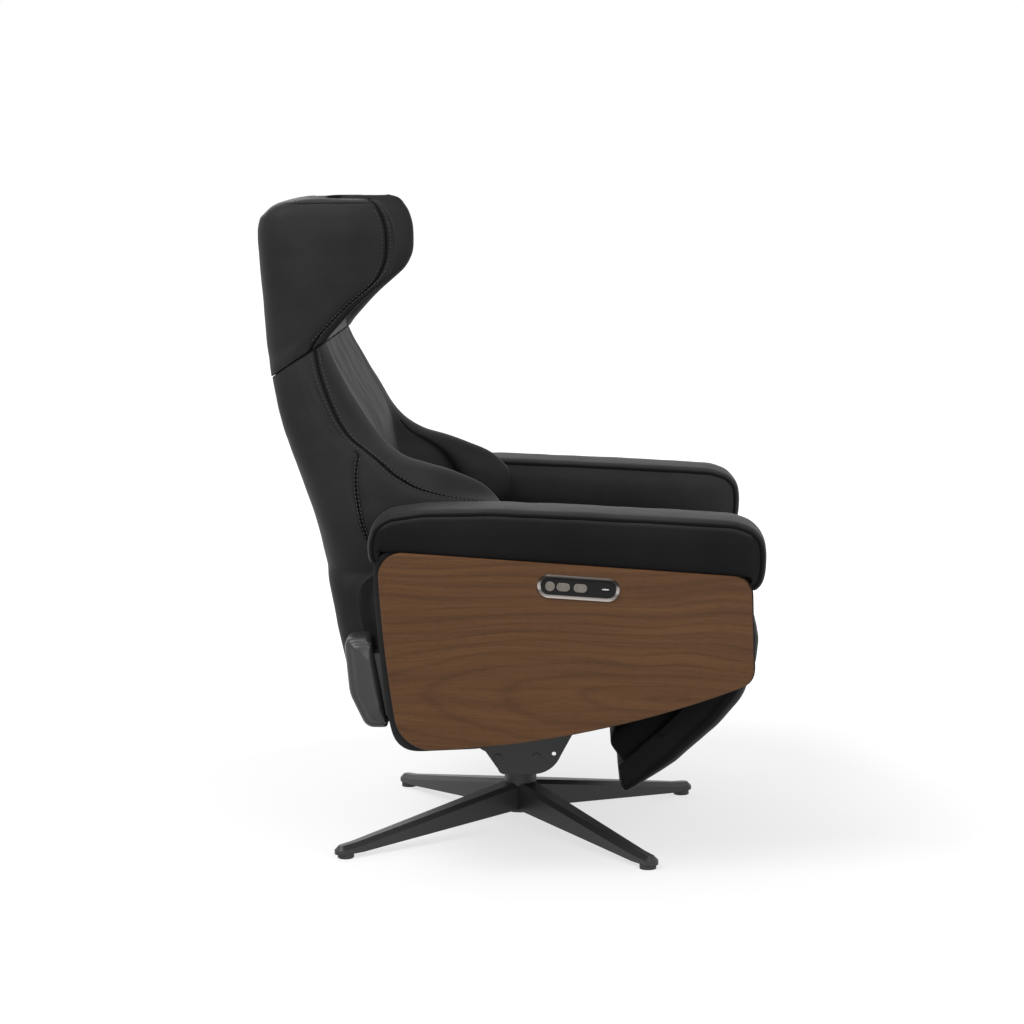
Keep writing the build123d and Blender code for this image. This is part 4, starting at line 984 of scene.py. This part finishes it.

# tone is the level of painted shade over the whole rear pad
padShape = dict(half=258, round=12, tone=0.75)
padTop = spread(roundPath([onFoot(149, 0.5) + (0,), onFoot(128, 26) + (20,), onFoot(100, 44) + (30,),
                           onFoot(48, 50) + (22,), onFoot(24, 36) + (16,), onFoot(20, 0.5) + (0,)], 6), 40)
padFlat = spread([onFoot(22, 0.4), onFoot(147, 0.4)], 40)
padStations = [dict(x=s - padShape["half"], draw=edgeDrop(padShape["round"], s))
               for s in (0, 1.5, 4, 8, 13, 20, 40, 100, 180, 258)]
padBody = sweepBody("footRearPad", padTop, padFlat, mirrored(padStations, middle=True), rows=2, puff=1.0)
shadePart(padBody, lambda p: padShape["tone"])
finishPiece(padBody, "footrest", ("footrest_rear_pad",))
print("stage: seat and footrest")

packShape = dict(inner=312, outer=378, round=13, roundShare=0.8, seamAt=14, seamDeep=1.6, crown=9)
packOuter = spread(roundPath([(227, 399, 0), (232, 406, 9), (272, 405, 36), (264, 312, 60), (238, 256.5, 22),
                              (204, 256.5, 6), (203.4, 263, 0)], 8), 60)
packInner = spread([(204.4, 266), (226.6, 396)], 60)
packStations = []
packWide = packShape["outer"] - packShape["inner"]
for s in (0, 0.8, 2, 4, 7, 11, 20, 33, 46, 50.4, 51.4, 52, 52.6, 53.6, 57, 60, 62.5, 64.4, 65.4, 66):
    draw = edgeDrop(packShape["round"], min(s, packWide - s)) * packShape["roundShare"]
    split = abs(packWide - s - packShape["seamAt"]) < 0.1
    packStations.append(dict(x=-packShape["inner"] - s, draw=draw + (packShape["seamDeep"] if split else 0)))
packBody = sweepBody("packShell", packOuter, packInner, packStations, rows=7, puff=packShape["crown"])
finishPiece(packBody, "seat_unit", ("battery_pack",), slot="black_plastic")
print("stage: pack")


# finishes on the hard parts

nodeFinish = {part["node"]: part["material_slot"] for part in frame["record"]["subparts"]}
nodeFinish["footrest_arms"] = "shadedArmCoat"  # a darker copy of the powder coat: painted shade, since the swing arms hang in shade
for nodeName, node in frame["nodes"].items():
    node.data.materials.clear()
    node.data.materials.append(materials[nodeFinish[nodeName]])
print("stage: hard parts finished")


# floor, light and camera

def seenBy(tree, path):  # camera, glossy and transmission rays all see the white ground
    last = path.outputs["Is Camera Ray"]
    for ray in ("Is Glossy Ray", "Is Transmission Ray"):
        both = addNode(tree, "Math", operation="MAXIMUM")
        tree.links.new(last, both.inputs[0])
        tree.links.new(path.outputs[ray], both.inputs[1])
        last = both.outputs[0]
    return last


floorLook = dict(half=40, drop=0.0005, colour=(0.34, 0.34, 0.34), vary=1.01, rough=0.9, glow=0.68, near=0.75, far=1.7)
skyLook = dict(light=0.42, seen=1.0)


def stageMaterial(name, look):
    mat, tree, bsdf, coord = startMaterial(name)
    cloud = addNoise(tree, coord, scale=3.0, detail=2.0, rough=0.5)
    pale = tuple(min(1, c * look["vary"]) for c in look["colour"])
    tone = addRamp(tree, cloud.outputs["Fac"], ((0.3, look["colour"]), (0.7, pale)))
    tree.links.new(tone.outputs["Color"], bsdf.inputs["Base Color"])
    bsdf.inputs["Roughness"].default_value = look["rough"]
    bsdf.inputs["Specular IOR Level"].default_value = 0.0
    path = addNode(tree, "LightPath")
    away = addNode(tree, "VectorMath", operation="LENGTH")
    tree.links.new(coord, away.inputs[0])
    level = addNode(tree, "MapRange")  # the floor runs out to plain white
    level.inputs["From Min"].default_value = look["near"]
    level.inputs["From Max"].default_value = look["far"]
    level.inputs["To Min"].default_value = look["glow"]
    level.inputs["To Max"].default_value = 1.0
    tree.links.new(away.outputs["Value"], level.inputs["Value"])
    amount = addNode(tree, "Math", operation="MULTIPLY")
    tree.links.new(seenBy(tree, path), amount.inputs[0])
    tree.links.new(level.outputs["Result"], amount.inputs[1])
    bsdf.inputs["Emission Color"].default_value = (1, 1, 1, 1)
    tree.links.new(amount.outputs[0], bsdf.inputs["Emission Strength"])
    return mat


floorMesh = bpy.data.meshes.new("studioFloor")
half = floorLook["half"]
corners = [(x, y, -floorLook["drop"]) for x, y in ((-half, -half), (half, -half), (half, half), (-half, half))]
floorMesh.from_pydata(corners, [], [(0, 1, 2, 3)])
studioFloor = bpy.data.objects.new("studioFloor", floorMesh)
bpy.context.scene.collection.objects.link(studioFloor)
floorMesh.materials.append(stageMaterial("floorPaint", floorLook))

world = bpy.data.worlds.new("studioWorld")
bpy.context.scene.world = world
world.use_nodes = True
wt = world.node_tree
sky = wt.nodes["Background"]
sky.inputs["Color"].default_value = (1, 1, 1, 1)
wpath = addNode(wt, "LightPath")
skyLevel = addNode(wt, "MapRange")
skyLevel.inputs["To Min"].default_value = skyLook["light"]
skyLevel.inputs["To Max"].default_value = skyLook["seen"]
wt.links.new(seenBy(wt, wpath), skyLevel.inputs["Value"])
wt.links.new(skyLevel.outputs["Result"], sky.inputs["Strength"])

lampSet = dict(  # place, aim, size, watts
    key=((-2.4, 1.9, 3.6), (0, 0, 0.5), 2.4, 110),
    fill=((-3.4, -1.6, 1.9), (0, 0, 0.5), 2.6, 62),
    top=((0.2, 0.3, 3.8), (0, 0, 0.5), 2.6, 16),
    rim=((2.6, 1.2, 2.6), (0, 0, 0.7), 1.8, 16))
for lampName, (place, aim, wide, watts) in lampSet.items():
    data = bpy.data.lights.new(lampName, "AREA")
    data.shape = "DISK"
    data.size = wide
    data.energy = watts
    lamp = bpy.data.objects.new(lampName, data)
    lamp.location = place
    lamp.rotation_euler = (Vector(aim) - Vector(place)).to_track_quat("-Z", "Y").to_euler()
    bpy.context.scene.collection.objects.link(lamp)

cameraSet = dict(yaw=1.53, pitch=7.71, roll=-0.70, away=4490, aim=(0, 9.3, 554.4), focal=2593, pixels=1024, sensor=36)
yaw, pitch, roll = (math.radians(cameraSet[k]) for k in ("yaw", "pitch", "roll"))
ahead = Vector((math.cos(pitch) * math.cos(yaw), math.cos(pitch) * math.sin(yaw), -math.sin(pitch)))
right = ahead.cross(Vector((0, 0, 1))).normalized()
up = right.cross(ahead)
right, up = right * math.cos(roll) + up * math.sin(roll), up * math.cos(roll) - right * math.sin(roll)
place = (Vector(cameraSet["aim"]) - ahead * cameraSet["away"]) * mm
camData = bpy.data.cameras.new("photoCamera")
camData.sensor_fit = "HORIZONTAL"
camData.sensor_width = cameraSet["sensor"]
camData.lens = cameraSet["focal"] / cameraSet["pixels"] * cameraSet["sensor"]
camera = bpy.data.objects.new("photoCamera", camData)
camera.matrix_world = Matrix(((right.x, up.x, -ahead.x, place.x), (right.y, up.y, -ahead.y, place.y),
                              (right.z, up.z, -ahead.z, place.z), (0, 0, 0, 1)))
bpy.context.scene.collection.objects.link(camera)
bpy.context.scene.camera = camera
bpy.context.scene.view_settings.view_transform = "Standard"
print("stage: light and camera")
